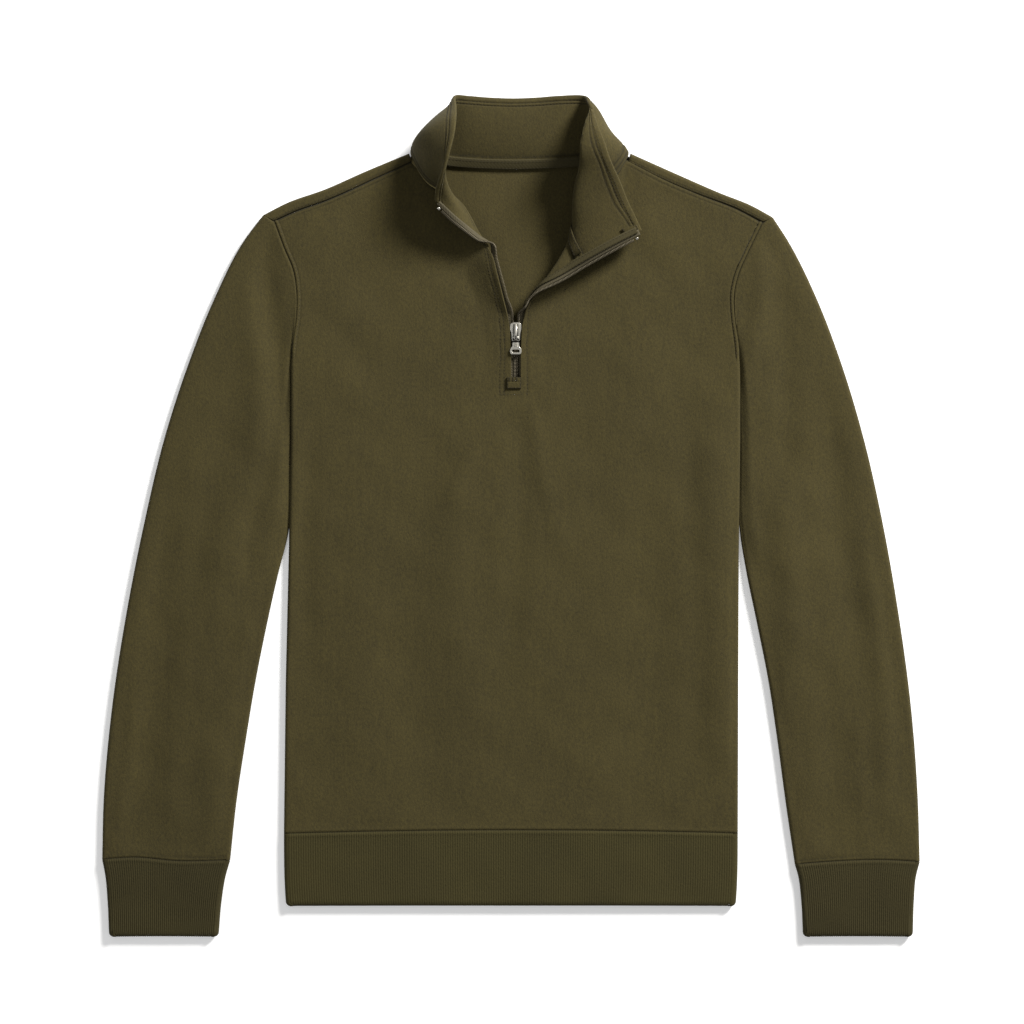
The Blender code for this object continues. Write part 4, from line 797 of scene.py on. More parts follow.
def back_panel(finish):
    """Flat on the surface, turned up at the sides, and wrapped over each shoulder to its seam."""
    split, roll = HEM_TO_ARM, 8
    shoulder, neck = 34, 60
    first, last = NECK_STATIONS["right"]["fold"], NECK_STATIONS["left"]["fold"]
    rows_up = split + spread(200, 1.5, 5.0, (False, True)) * (1 - split)
    v = np.concatenate([spread(SIDE_TALL, 1.5, 7.0)[:-1] * split, rows_up])
    count = 2 * shoulder + neck
    u = np.linspace(0, 1, count + 1)
    sides = {}
    for side in SIGN:
        fold, seam = (curve(side_points(rows, side)) for rows in (SHOULDER_FOLDS, SHOULDER_SEAMS))
        sides[side] = (fold, seam, back_armhole(side), side_line(side))

    def edge(side, v):
        _, _, armhole, outline = sides[side]
        low = hem_y(SIDES[side][0])
        y = low + (UNDERARM_Y - low) * np.minimum(v / split, 1)
        side_part = np.stack([outline(y), y], axis=-1)
        spot = np.where((v < split)[..., None], side_part, armhole((v - split) / (1 - split)))
        return spot - np.array([SIGN[side] * FOLD_MID, 0.0])

    def wrap_start(side, share):
        fold, seam = sides[side][0](share), sides[side][1](share)
        return fold + unit(seam - fold) * FOLD_MID

    def top(u):
        i = u * count
        spot = neck_seam(first + (last - first) * np.clip((i - shoulder) / neck, 0, 1))[..., :2]
        for side, share in (("right", 1 - i / shoulder), ("left", 1 - (count - i) / shoulder)):
            part = (np.clip(share, 0.01, 1) * (1 - TIP_SHARE))[..., None]
            end = edge(side, np.array(1.0)) - wrap_start(side, 1 - TIP_SHARE)
            on_shoulder = wrap_start(side, part[..., 0]) + end * part
            spot = np.where((share >= 0)[..., None], on_shoulder, spot)
        return spot

    def low(u):
        x = edge("right", np.array(0.0))[0] * (1 - u) + edge("left", np.array(0.0))[0] * u
        return np.stack([x, hem_y(x)], axis=-1)

    spots = patch(low, top, lambda t: edge("right", t), lambda t: edge("left", t), u[:, None], v[None, :])
    flat = np.concatenate([spots, np.full((*spots.shape[:2], 1), BACK_MID)], axis=-1)
    k = np.linspace(0, 1, roll + 1)[1:]
    rolled = {}
    for side, start in (("right", flat[0]), ("left", flat[-1])):
        armhole_part = soft_step((start[:, 1] - UNDERARM_Y) / 14)[None, :, None]
        straight = np.zeros((roll, 1, 3))
        straight[:, 0, 0] = SIGN[side] * FOLD_MID * k
        step = side_roll(side, k, 1)[:, None] * (1 - armhole_part) + straight * armhole_part
        rolled[side] = start[None] + step
    flat = np.concatenate([rolled["right"][::-1], flat, rolled["left"]])
    neck_from, neck_to = roll + shoulder, roll + shoulder + neck
    neck_columns = slice(neck_from + 1, neck_to)
    stations = first + (last - first) * np.arange(1, neck) / neck
    flat[neck_columns, -1] = trim_to_collar(flat[neck_columns, -1], flat[neck_columns, -3], stations)
    wrap = SHOULDER_WRAP_ROWS
    wraps = np.repeat(flat[:, -1:], wrap, axis=1)
    for i in range(len(flat)):
        if neck_from < i < neck_to:
            continue
        side, at = ("right", i) if i <= neck_from else ("left", len(flat) - 1 - i)
        share = 1 - TIP_SHARE * at / roll
        if at >= roll:
            share = (1 - TIP_SHARE) * max(1 - (at - roll) / shoulder, 0.01)
        wraps[i] = shoulder_wrap(sides[side][0](share), sides[side][1](share))
    rows = np.concatenate([flat, wraps], axis=1)
    left_out = np.zeros(rows.shape[:2], bool)
    left_out[neck_from:neck_to, flat.shape[1] - 1:] = True
    # the dip mark paints shade where the shoulder strip sinks to its seam and stitching
    dip = np.zeros(rows.shape[:2])
    dip[:, -wrap:] = TOP_MID - np.maximum(rows[:, -wrap:, 2], TOP_MID - 2)
    dip[:, -wrap:-wrap + FOLD_STEPS] = 0
    made = cloth("back_panel", rows, WALL, finish, left_out, marks={"dip": dip})
    strips = {"right": rows[:neck_from + 1, ::-1], "left": rows[neck_to:, ::-1]}
    return made, strips


# -------------------------------------------------------------------------- sleeves, cuffs, hem band


def tube_ring(thick, wall, front_shares, back_shares, ribs=None):
    """Round a flattened tube from its outer fold's back: (side, kind, place, height) for each point.

    A place is ("outer", mm), ("inner", mm) or ("flat", share), from the outer fold to the inner one.
    """
    middle, radius = thick / 2, (thick - wall) / 2
    ring = []
    for k in range(FOLD_STEPS + 1):
        angle = math.pi * k / FOLD_STEPS
        face = "back" if k < FOLD_STEPS / 2 else "front"
        ring.append((face, "outer", middle - radius * math.sin(angle), middle - radius * math.cos(angle)))
    for n, share in enumerate(front_shares):
        ring.append(("front", "flat", share, thick - wall / 2 + (ribs[n % len(ribs)] if ribs else 0)))
    for k in range(FOLD_STEPS + 1):
        angle = math.pi * k / FOLD_STEPS
        face = "front" if k < FOLD_STEPS / 2 else "back"
        ring.append((face, "inner", middle - radius * math.sin(angle), middle + radius * math.cos(angle)))
    for n, share in enumerate(back_shares[::-1]):
        ring.append(("back", "flat", share, wall / 2 + (RIB_RISE - ribs[n % len(ribs)] if ribs else 0)))
    return ring + [ring[0]]


def tube(ring, outer, inner, tops, bottom, v, top_width, top_ring=None):
    """The points of a flattened tube [round, down] between its two folds, its top and its bottom."""
    width = top_width * (1 - v) + length(bottom) * v
    rows = np.zeros((len(ring), len(v), 3))
    for i, (face, kind, place, height) in enumerate(ring):
        if kind == "flat":
            u = (top_ring or ring)[i][2] * (1 - v) + place * v
        else:
            u = place / width if kind == "outer" else 1 - place / width
        rows[i, :, :2] = patch(tops[face], bottom, outer, inner, u, v)
        rows[i, :, 2] = height
    return rows


def front_faces(ring):
    """How much each point of a ring belongs to the tube's upper side, from 0 to 1."""
    return np.array([1.0 if face == "front" and kind == "flat" else 0.0 for face, kind, _, _ in ring])


def sleeve(side, finish):
    """A flattened tube from armhole to cuff, pressed under the body's side."""
    fold_end = curve(side_points(SHOULDER_FOLDS, side))(1.0)
    armhole, back_line = curve(side_points(ARMHOLES, side)), back_armhole(side)
    around = length(armhole) + np.linalg.norm(armhole(1.0) - fold_end)
    landing = np.linalg.norm(armhole(1.0) - fold_end) / around
    start = FOLD_MID / around

    def top(line, meets):
        def place(u):
            straight = fold_end + (line(1.0) - fold_end) * np.minimum(u / meets, 1)[..., None]
            return np.where((u < meets)[..., None], straight, line(1 - (u - meets) / (1 - meets)))

        return lambda u: place(np.asarray(u, float))

    tops = {"front": top(armhole, landing), "back": top(back_line, start)}
    count = 44
    shares = (np.arange(count) + 0.5) / count
    front_top, back_top = landing + (1 - landing) * shares * 0.985, start + (1 - start) * shares * 0.985
    ring = tube_ring(BODY_THICK, WALL, 0.02 + 0.96 * shares, 0.02 + 0.96 * shares)
    top_ring = tube_ring(BODY_THICK, WALL, front_top, back_top)
    outer = curve(side_points(SLEEVE_OUTERS, side))
    inner_rows = side_points(SLEEVE_INNERS, side)
    beside = side_line(side)(inner_rows[:, 1])
    gap = np.abs(inner_rows[:, 0] - beside)
    inner_rows[:, 0] = beside + SIGN[side] * (TOUCH + (gap - TOUCH) * soft_step(gap / 9))
    inner = curve(inner_rows)
    cuff_seam = curve(side_points(CUFF_SEAMS, side))
    v = spread(500, 0.9, 5.0)
    rows = tube(ring, outer, inner, tops, cuff_seam, v, around, top_ring)
    down = from_edge(rows, 1)
    across = np.array([place if kind == "flat" else 1.0 for _, kind, place, _ in top_ring])
    at_arm = [kind == "inner" or (kind == "flat" and place > 0.86) for _, kind, place, _ in top_ring]
    clear = UNDERARM_SEAM * soft_step((across - 0.8) / 0.15) * np.array(at_arm)
    rows[..., 0] += SIGN[side] * clear[:, None] * soft_step(1 - down / 60)
    rows[:, 0] += unit(rows[:, 1] - rows[:, 0]) * SEAM * np.array([1, 1, 0])
    rows[:, -1] += unit(rows[:, -2] - rows[:, -1]) * SEAM
    up = from_edge(rows, 1, last=True)
    upper = front_faces(ring)[:, None]
    at = np.arange(len(ring))
    inset = np.minimum(np.abs(at - FOLD_STEPS), np.abs(at - FOLD_STEPS - 1 - count)) / 6
    free = soft_step(down / 14) * soft_step(up / 14) * upper * soft_step(inset)[:, None]
    dip = (sunk(down) + sunk(up, (3.2,))) * upper * 0.9
    rows[..., 2] += creased(rows[..., 0], rows[..., 1]) * free + dip
    tucked = tuck_under_body(ring, rows)
    rows[..., 2] = BACK_MID + (rows[..., 2] - BACK_MID) * (1 - tucked)
    # the dip mark paints shade into the sleeve's seams and stitch groove
    return cloth("sleeve_" + side, rows, WALL, finish, ring=True, marks={"dip": -dip})


def tuck_under_body(ring, rows):
    """How flat the sleeve is pressed where the body's side lies against it, from 0 to 1."""
    width = np.abs(rows[0, :, 0] - rows[len(ring) // 2, :, 0])[None]
    away = np.array([1 - place if kind == "flat" else float(kind == "outer") for _, kind, place, _ in ring])
    beside = soft_step((rows[..., 1] + 75) / 60) * soft_step((185 - rows[..., 1]) / 50)
    return 0.5 * beside * (1 - soft_step(away[:, None] * width / 17))


def rib_shares(width):
    """Shares across a ribbed tube, four to a rib, and the rib's profile."""
    count = int(width / RIB_PITCH) * 4
    return (np.arange(count) + 0.5) / count, [-RIB_RISE, 0.0, RIB_RISE, 0.0]


def rib_mark(ring):
    """Each point's height on its rib, from 0 in the valley to 1 on the crest."""
    heights = np.array([height for _, _, _, height in ring])
    front = np.array([face == "front" and kind == "flat" for face, kind, _, _ in ring])
    level = RIB_THICK - RIB_WALL / 2
    return np.where(front, (heights - level) / (2 * RIB_RISE) + 0.5, 0.6)


def ribbed(name, ring, outer, inner, seam, bottom, finish):
    """A doubled rib band, a flattened tube with rounded low corners."""
    v = spread(70, 0.7, 3.5)
    rows = tube(ring, outer, inner, {"front": seam, "back": seam}, bottom, v, length(seam))
    rows[:, 0] += unit(rows[:, 1] - rows[:, 0]) * SEAM
    upper = front_faces(ring)[:, None]
    down, up = from_edge(rows, 1), from_edge(rows, 1, last=True)
    rows[..., 2] += (sunk(down) * 1.3 - 1.3 * hump(up, 0, 1.6)) * upper
    free = 0.5 * upper * soft_step(down / 10) * soft_step(up / 10)
    rows[..., 2] += creased(rows[..., 0], rows[..., 1]) * free
    rib = np.repeat(rib_mark(ring)[:, None], len(v), axis=1)
    short = np.maximum(CORNER_RADIUS - up, 0)
    inset = CORNER_RADIUS - np.sqrt(np.maximum(CORNER_RADIUS**2 - short**2, 0))
    middle = rows[..., :2].mean(axis=0, keepdims=True)
    half = np.linalg.norm(rows[:1, :, :2] - middle, axis=-1)
    rows[..., :2] = middle + (rows[..., :2] - middle) * (1 - inset / half)[..., None]
    # the rib mark paints shade into rib valleys and highlight on crests; the dip mark paints shade into the
    # seam
    return cloth(name, rows, RIB_WALL, finish, ring=True, marks={"dip": -sunk(down) * upper, "rib": rib})


def cuff(side, finish):
    seam = curve(side_points(CUFF_SEAMS, side))
    shares, profile = rib_shares(length(seam))
    shares = 0.035 + 0.93 * shares
    ring = tube_ring(RIB_THICK, RIB_WALL, shares, shares, ribs=profile)
    edges = {}
    for place, at in (("outer", 0.0), ("inner", 1.0)):
        rows = np.stack([CUFF_EDGES[f"{side}_{place}"], CUFF_EDGES["y"]], axis=1)
        rows[0] = seam(at)
        edges[place] = curve(rows)
    bottom = curve([edges["outer"](1.0), edges["inner"](1.0)])
    return ribbed("cuff_" + side, ring, edges["outer"], edges["inner"], seam, bottom, finish)


def hem_band(finish):
    ends = {side: SIDES[side][0] for side in SIGN}

    def seam(u):
        x = ends["right"] * (1 - np.asarray(u, float)) + ends["left"] * u
        return np.stack([x, hem_y(x)], axis=-1)

    def edge(side):
        low = hem_y(ends[side])

        def place(v):
            v = np.asarray(v, float)
            return np.stack([ends[side] - SIGN[side] * 2.0 * v**3, low + (HEM_BOTTOM_Y - low) * v], axis=-1)

        return place

    shares, profile = rib_shares(length(seam))
    shares = 0.01 + 0.98 * shares
    ring = tube_ring(RIB_THICK, RIB_WALL, shares, shares, ribs=profile)
    bottom = curve([edge("right")(1.0), edge("left")(1.0)])
    return ribbed("hem_band", ring, edge("right"), edge("left"), seam, bottom, finish)


# ------------------------------------------------------------------------------------------- collar


def collar(finish):
    """One piece folded at the collar's top edge: up the outer wall, over the fold, down the inner."""
    stations = np.linspace(0, STATIONS, 231)[:, None]
    runs = (np.arange(0, 9.1, 0.7), np.arange(11, 53, 2.8), np.arange(54, COLLAR_TALL + 0.1, 0.8))
    from_top = np.concatenate(runs)
    shares = 1 - from_top[::-1] / COLLAR_TALL
    middle = collar_point(stations, shares[None])
    normal = collar_normal(stations, shares[None])
    tall = lengths_along(middle, 1)[:, -1:]
    depth = (1 - shares[None]) * tall
    gap = np.full_like(depth, COLLAR_HALF_GAP)
    for at, half, rise in COLLAR_ROLLS:
        gap += rise * hump(depth, at, half)
    for at in COLLAR_STITCHES:
        gap = gap - 0.45 * hump(depth, at, 0.7)
    for at in (5.0, 9.8):
        gap = gap - 0.5 * hump(tall - depth, at, 0.8)
    gap = gap - 0.4 * hump(tall - depth, 0, 1.0)
    outside = middle + normal * gap[..., None]
    inside = middle - normal * gap[..., None]
    up = unit(middle[:, -1] - middle[:, -2])
    angles = np.pi * np.array([0.2, 0.35, 0.5, 0.65, 0.8])
    fold = [
        middle[:, -1] + (normal[:, -1] * math.cos(a) + up * math.sin(a)) * COLLAR_HALF_GAP for a in angles
    ]
    rows = np.concatenate([outside, np.stack(fold, axis=1), inside[:, ::-1]], axis=1)
    # the dip mark paints shade into the collar's stitch grooves and seam
    dip = COLLAR_HALF_GAP - gap
    dip = np.concatenate([dip, np.zeros((len(dip), len(angles))), dip[:, ::-1]], axis=1)
    made = cloth("collar", rows, COLLAR_WALL, finish, marks={"dip": dip * 1.6})
    lines = []
    for at in COLLAR_STITCHES:
        for wall, sign in ((outside, 1), (inside, -1)):
            spots, _ = inset_line(wall[3:-3, ::-1], at)
            lines.append((spots, unit(sign * normal[3:-3, -4])))
    return made, lines


def neck_tape(finish):
    """Lies over the neck seam on the collar's inner wall, across the back of the neck."""
    stations = np.linspace(*NECK_TAPE, 91)[:, None]
    shares = np.linspace(-0.022, 0.125, 9)
    rise = COLLAR_HALF + 0.4 + TRIM_WALL / 2 - 0.3 * np.abs(np.linspace(-1, 1, 9)) ** 4
    rows = collar_point(stations, shares[None]) - collar_normal(stations, shares[None]) * rise[None, :, None]
    made = cloth("neck_tape", rows, TRIM_WALL, finish, marks={"dip": np.zeros(rows.shape[:2])})
    normals = -collar_normal(stations[:, 0], 0.07)
    lines = [(inset_line(rows, at)[0], normals) for at in (1.2, 7.0)]
    return made, lines


def lapel_piece(name, stations, shares, lift, finish, bow=0.3):
    """A small piece sewn to the collar's inner wall near the wearer's left front edge."""
    u, v = np.linspace(*stations, 21)[:, None], np.linspace(*shares, 13)[None]
    crown = 1 - np.abs(np.linspace(-1, 1, 13))[None] ** 4
    rise = COLLAR_HALF + lift + TRIM_WALL / 2 + bow * crown
    rows = collar_point(u, v) - collar_normal(u, v) * rise[..., None]
    inset = np.minimum(from_edge(rows, 1), from_edge(rows, 1, last=True))
    # painted shade along the line of its stitching, where the cloth itself has no groove
    painted_groove_shade = 0.7 * hump(inset, 1.1, 0.5)
    normals = -collar_normal(u[:, 0], np.full(21, np.mean(shares)))
    lines = [(inset_line(rows, 1.1)[0], normals), (inset_line(rows[:, ::-1], 1.1)[0], normals)]
    return cloth(name, rows, TRIM_WALL, finish, marks={"dip": painted_groove_shade}), lines


# --------------------------------------------------------------------------------------------- zip


def leaf_point(side, t, inside):
    """A place on a leaf's middle surface, in mm from its edge, at t of the way from window to neck."""
    base, crest, edge = leaf_lines(side)
    w = inside / (2 * np.linalg.norm(crest(t) - edge(t)))
    foot = np.array([*base(t), TOP_MID])
    return (1 - w) ** 2 * edge(t) + 2 * w * (1 - w) * crest(t) + w * w * foot


def leaf_frame(side, t):
    """A place on a leaf's edge, the way on out of the cloth and the way out of its outer face."""
    edge, inside = leaf_point(side, t, 0.0), leaf_point(side, t, 1.0)
    ahead = unit(leaf_point(side, min(t + 0.02, 1), 0.0) - leaf_point(side, max(t - 0.02, 0), 0.0))
    normal = unit(np.cross(ahead, edge - inside)) * SIGN[side]
    out = unit(np.cross(normal, ahead)) * SIGN[side]
    opened = soft_step((edge[1] - SLIDER_HIGH_Y) / 18)
    level = soft_step((edge[1] - SLIDER_LOW_Y) / 8 + 1) * (1 - opened)
    edge[2] += (EDGE_AT_SLIDER_Z - edge[2]) * level
    out = unit(out * opened - np.array([SIGN[side], 0, 0]) * (1 - opened))
    return edge, out, unit(normal * opened + np.array([0, 0, 1]) * (1 - opened))


def front_edge_frame(side, share):
    """The same on the collar's front edge, at share of its height."""
    station, share = np.array(float(NECK_STATIONS[side]["edge"])), np.array(float(share))
    ahead = unit(collar_point(station, share + 0.02) - collar_point(station, share - 0.02))
    normal = collar_normal(station, share)
    return collar_point(station, share), unit(np.cross(normal, ahead)) * SIGN[side], normal


def zip_lines(side, offsets, drop):
    """Smooth lines along a strip by the cloth's edge, from the window's end to the collar's top.

    offsets(spot) gives them in mm beyond the edge, and drop is how far they lie under the cloth.
    """
    frames = [(*leaf_frame(side, t), t, drop) for t in np.linspace(0, 0.9, LEAF_SAMPLES)]
    last, first = leaf_frame(side, 1.0), front_edge_frame(side, 0)
    corner = [(a + b) / 2 for a, b in zip(last, first)]
    ease = CORNER_EASE * drop / np.linalg.norm(corner[2])
    frames.append((corner[0], unit(corner[1]), unit(corner[2]), None, ease))
    frames += [(*front_edge_frame(side, share), None, drop) for share in (0.22, 0.45, 0.7, 0.97)]
    lines = []
    for edge, out, normal, t, fall in frames:
        columns = []
        for offset in offsets(edge):
            spot = edge + out * offset
            if t is not None and offset < 0 and edge[1] > SLIDER_HIGH_Y + 18:
                spot = leaf_point(side, t, -offset)
            columns.append(spot - normal * fall)
        lines.append(columns)
    lines = np.array(lines)
    return [curve(lines[:, k]) for k in range(lines.shape[1])]


def zip_rows(side, start, end, offsets, drop, steps=150):
    """Points [along, across] of a strip by the cloth's edge, between two shares of its length."""
    shares = np.linspace(start, end, steps + 1)
    return np.stack([line(shares) for line in zip_lines(side, offsets, drop)], axis=1)


def teeth_reach(side, spot):
    """How far the middle of a row of teeth lies beyond the cloth's edge at spot."""
    to_centre = abs(CENTRE_X - spot[0])
    apart = CHAIN_HALF + 0.05 + TEETH_SPREAD * soft_step((spot[1] - HINGE_Y) / 12)
    opened = soft_step((spot[1] - SLIDER_HIGH_Y) / 22)
    return (to_centre - apart) * (1 - opened) + OPEN_REACH[side] * opened


def tooth_frames(side, count):
    """Places along a row of teeth, each with the ways along it, across it and out of it."""
    lines = zip_lines(side, lambda e: (teeth_reach(side, e) - 0.4, teeth_reach(side, e) + 0.4), TAPE_DROP)
    shares = (np.arange(count) + 0.5) / count * TEETH_END
    near, far = (line(shares) for line in lines)
    middle = (near + far) / 2
    ahead = unit(np.gradient(middle, axis=0))
    across = unit(far - near)
    return middle, ahead, across, unit(np.cross(ahead, across)) * -SIGN[side]


def zip_teeth(side, finish):
    """One row of moulded teeth: a cord's body under each, and a head that reaches to the other row."""
    tall = length(zip_lines(side, lambda e: (teeth_reach(side, e),), TAPE_DROP)[0], 200) * TEETH_END
    count = int(tall / TOOTH_PITCH)
    bm = bmesh.new()
    one = bmesh.new()
    tooth_shape(one)
    mesh = bpy.data.meshes.new("tooth")
    one.to_mesh(mesh)
    one.free()
    for middle, ahead, across, up in zip(*tooth_frames(side, count)):
        before = len(bm.verts)
        bm.from_mesh(mesh)
        bm.verts.ensure_lookup_table()
        bmesh.ops.transform(bm, matrix=set_at(middle, ahead, across, up), verts=bm.verts[before:])
    bmesh.ops.recalc_face_normals(bm, faces=bm.faces)
    bpy.data.meshes.remove(mesh)
    return add_piece("zip_chain_" + side, bm, finish)


def tooth_shape(bm):
    """A tooth along +Y: a block on the tape's edge and a narrower head."""
    made = bmesh.ops.create_cube(bm, size=1.0)
    bmesh.ops.scale(bm, verts=made["verts"], vec=Vector((0.72, 1.5, 2.0)) * MM)
    bmesh.ops.translate(bm, verts=made["verts"], vec=Vector((0, -0.5, 0)) * MM)
    front = [f for f in bm.faces if f.normal.y > 0.9]
    moved = bmesh.ops.extrude_face_region(bm, geom=front)
    head = [item for item in moved["geom"] if isinstance(item, bmesh.types.BMVert)]
    bmesh.ops.delete(bm, geom=front, context="FACES_ONLY")
    bmesh.ops.translate(bm, verts=head, vec=Vector((0, 0.95, 0)) * MM)
    middle = sum((v.co for v in head), Vector()) / len(head)
    bmesh.ops.scale(bm, verts=head, vec=Vector((1.35, 1.0, 0.62)), space=Matrix.Translation(-middle))
    edges = [e for e in bm.edges if e.calc_length() > 0.6 * MM]
    eased(bm, edges, 0.14, 1)


def zip_tape(side, finish):
    """The woven strip along one edge of the opening, which the teeth are fixed to."""
    def offsets(edge):
        reach = teeth_reach(side, edge) - CHAIN_HALF - TEETH_TO_TAPE
        return (-TAPE_HIDDEN, -1.5, 0.01, 0.01 + reach * 0.5, reach)

    rows = zip_rows(side, 0, 1, offsets, TAPE_DROP)
    return cloth("zip_tape_" + side, rows, TRIM_WALL, finish)


def zip_facing(finish):
    """The strip sewn over the tape's edge inside the wearer's left leaf."""
    rows = zip_rows("left", 0.36, 0.99, lambda e: (-6.5, -5.0, -3.4, -1.9, -0.4), FACING_DROP)
    made = cloth("zip_facing", rows, TRIM_WALL, finish)
    normals = -unit(np.cross(np.gradient(rows[:, 2], axis=0), rows[:, 3] - rows[:, 2]))
    return made, [(rows[2:-2, k], normals[2:-2]) for k in (1, 4)]


def facing_up(line):
    return line, np.tile([0.0, 0.0, 1.0], (len(line), 1))


def end_patch(finish):
    """The piece sewn over the zip's lower end, with a bar of stitches across its top."""
    right, left = leaf_lines("right")[2], leaf_lines("left")[2]
    tall = length(lambda s: right(s)[..., :2])
    rise = WALL / 2 + SEAM + PATCH_WALL / 2
    xs = np.linspace(PATCH_RIGHT_X, PATCH_LEFT_X, 23)
    ys = np.linspace(PATCH_LOW_Y, PATCH_HIGH_Y, 19)
    rows = np.zeros((len(xs), len(ys), 3))
    for j, y in enumerate(ys):
        t = np.array(max(y - SLIT_LOW_Y, 0) / tall)
        rows[:, j] = (0, y, max(right(t)[2], left(t)[2]) + rise)
    rows[..., 0] = xs[:, None]
    inset = np.minimum.outer(*(np.minimum(line - line[0], line[-1] - line) for line in (xs, ys)))
    rows[..., 2] += 0.25 * soft_step(inset / 1.4) - 0.3 * hump(ys, PATCH_BAR_Y, 0.5)
    # painted shade round the patch's edge
    painted_groove_shade = 0.8 * hump(inset, 0, 0.8)
    made = cloth("zip_end_patch", rows, PATCH_WALL, finish, marks={"dip": painted_groove_shade})
    lines = [rows[1, :], rows[-2, :], rows[:, 1], *(rows[2:-2, j] for j in PATCH_BARS)]
    return made, [facing_up(line) for line in lines]


def eased(bm, edges, offset, segments):
    """Rounds edges off by offset mm."""
    bmesh.ops.bevel(
        bm, geom=list(edges), offset=offset * MM, segments=segments, profile=0.5,
        affect="EDGES", material=-1,
    )


def raised_plate(bm, corners, way, ease, segments):
    """A plate from the corners of one face, raised by way, with the rims of both faces eased."""
    face = bm.faces.new([bm.verts.new(Vector(corner) * MM) for corner in corners])
    made = bmesh.ops.extrude_face_region(bm, geom=[face])
    far = [item for item in made["geom"] if isinstance(item, bmesh.types.BMVert)]
    way = Vector(way)
    bmesh.ops.translate(bm, verts=far, vec=way * MM)
    faces = {f for v in far for f in v.link_faces} | {face}
    bmesh.ops.recalc_face_normals(bm, faces=list(faces))
    eased(bm, {e for f in faces if abs(f.normal @ way) > 0.9 * way.length for e in f.edges}, ease, segments)


def slab(bm, outline, low, high, ease, segments=2):
    """A level plate drawn by its outline, between two heights."""
    raised_plate(bm, [(x, y, low) for x, y in outline], (0, 0, high - low), ease, segments)


def mirrored(half, centre):
    """A closed outline from (half width, y) pairs, about x = centre."""
    right_way = [(centre + wide, y) for wide, y in half]
    return right_way + [(centre - wide, y) for wide, y in half[::-1] if wide > 0]


def slider(finish):
    """Two plates round the chain, the post between them and the bow that holds the pull."""
    tall = SLIDER_HIGH_Y - SLIDER_LOW_Y
    half = [(wide, SLIDER_LOW_Y + tall * at) for wide, at in curve(SLIDER_HALVES)(np.linspace(0, 1, 19))]
    bm = bmesh.new()
    for low, high, ease, segments in SLIDER_PLATES:
        slab(bm, mirrored(half, CENTRE_X), low, high, ease, segments)
    slab(bm, mirrored(SLIDER_POST, CENTRE_X), *POST_FACES, 0.1, 1)
    bow = [(CENTRE_X - BOW_HALF, y, z) for y, z in BOW_OUTER + BOW_INNER]
    raised_plate(bm, bow, (2 * BOW_HALF, 0, 0), 0.3, 3)
    return add_piece("zip_slider", bm, finish)


def pull_tab(finish):
    """A flat tab that hangs on a bar under the bow: an eye, a ribbed body and a slot at its low end."""
    low, high = PULL_MIDDLE_Z - PULL_HALF_THICK, PULL_MIDDLE_Z + PULL_HALF_THICK
    bm = bmesh.new()
    half = [(float(wide), float(y)) for wide, y in curve(PULL_HALVES)(np.linspace(0, 1, 18))]
    holed_slab(bm, mirrored(half, CENTRE_X), slot_outline(), low, high)
    bar = [(2.9, HINGE_Y - 0.7), (3.1, HINGE_Y - 0.2), (2.9, HINGE_Y + 0.7)]
    slab(bm, mirrored(bar, CENTRE_X), low, high, 0.3, 2)
    for sign in (-1, 1):
        near, far = CENTRE_X + sign * EYE_HALF, CENTRE_X + sign * PULL_NECK_HALF
        leg = [(near, EYE_LOW_Y), (far, EYE_LOW_Y), (far, HINGE_Y - 0.2), (near, HINGE_Y - 0.2)]
        slab(bm, leg, low, high, 0.25, 2)
    for k in range(PULL_RIBS):
        y = PULL_RIB_TOP_Y - k * PULL_RIB_PITCH
        left, right = CENTRE_X + PULL_RIB_HALF, CENTRE_X - PULL_RIB_HALF
        rib = [(right, y), (left, y), (left, y - 0.3), (right, y - 0.3)]
        slab(bm, rib, PULL_MIDDLE_Z + 0.4, high + 0.22, 0.08, 1)
    return add_piece("zip_pull", bm, finish, "pull_tab")


def slot_outline():
    """The round-ended slot in the pull's low end."""
    turn = np.linspace(-math.pi / 2, math.pi / 2, 7)
    to_end = SLOT_HALF - SLOT_RADIUS
    far = [
        (CENTRE_X + to_end + SLOT_RADIUS * math.cos(a), SLOT_Y + SLOT_RADIUS * math.sin(a)) for a in turn
    ]
    return far + [(2 * CENTRE_X - x, y) for x, y in far[::-1]]


def holed_slab(bm, outline, hole, low, high):
    """A plate with a hole: its outline and the hole's, bridged at two heights and joined down the walls."""
    loops = []
    for z in (low, high):
        pair = []
        for line in (outline, hole):
            made = [bm.verts.new(Vector((x, y, z)) * MM) for x, y in line]
            pair.append([bm.edges.new((a, b)) for a, b in zip(made, made[1:] + made[:1])])
        bmesh.ops.triangle_fill(bm, use_beauty=True, edges=pair[0] + pair[1])
        loops.append(pair)
    for k in (0, 1):
        bmesh.ops.bridge_loops(bm, edges=loops[0][k] + loops[1][k])
    bmesh.ops.recalc_face_normals(bm, faces=bm.faces)
    eased(bm, [e for pair in loops for line in pair for e in line], 0.28, 3)


def top_stop(side, finish):
    """The bright clip over the last tooth of each row."""
    lines = zip_lines(side, lambda e: [teeth_reach(side, e) + across for across in (-1.3, 0, 1.2)], TAPE_DROP)
    low, middle, high = (line(np.array(STOP_SHARES)) for line in lines)
    ahead, across = unit(middle[2] - middle[0]), unit(high[1] - low[1])
    up = unit(np.cross(ahead, across)) * -SIGN[side]
    bm = bmesh.new()
    bmesh.ops.create_cube(bm, size=1.0)
    bmesh.ops.scale(bm, verts=bm.verts, vec=Vector(STOP_SIZE) * MM)
    eased(bm, bm.edges[:], 0.6, 3)
    bmesh.ops.transform(bm, matrix=set_at(middle[1], ahead, across, up), verts=bm.verts)
    bmesh.ops.recalc_face_normals(bm, faces=bm.faces)
    return add_piece("zip_stop_" + side, bm, finish)


# --------------------------------------------------------------------------------------- materials


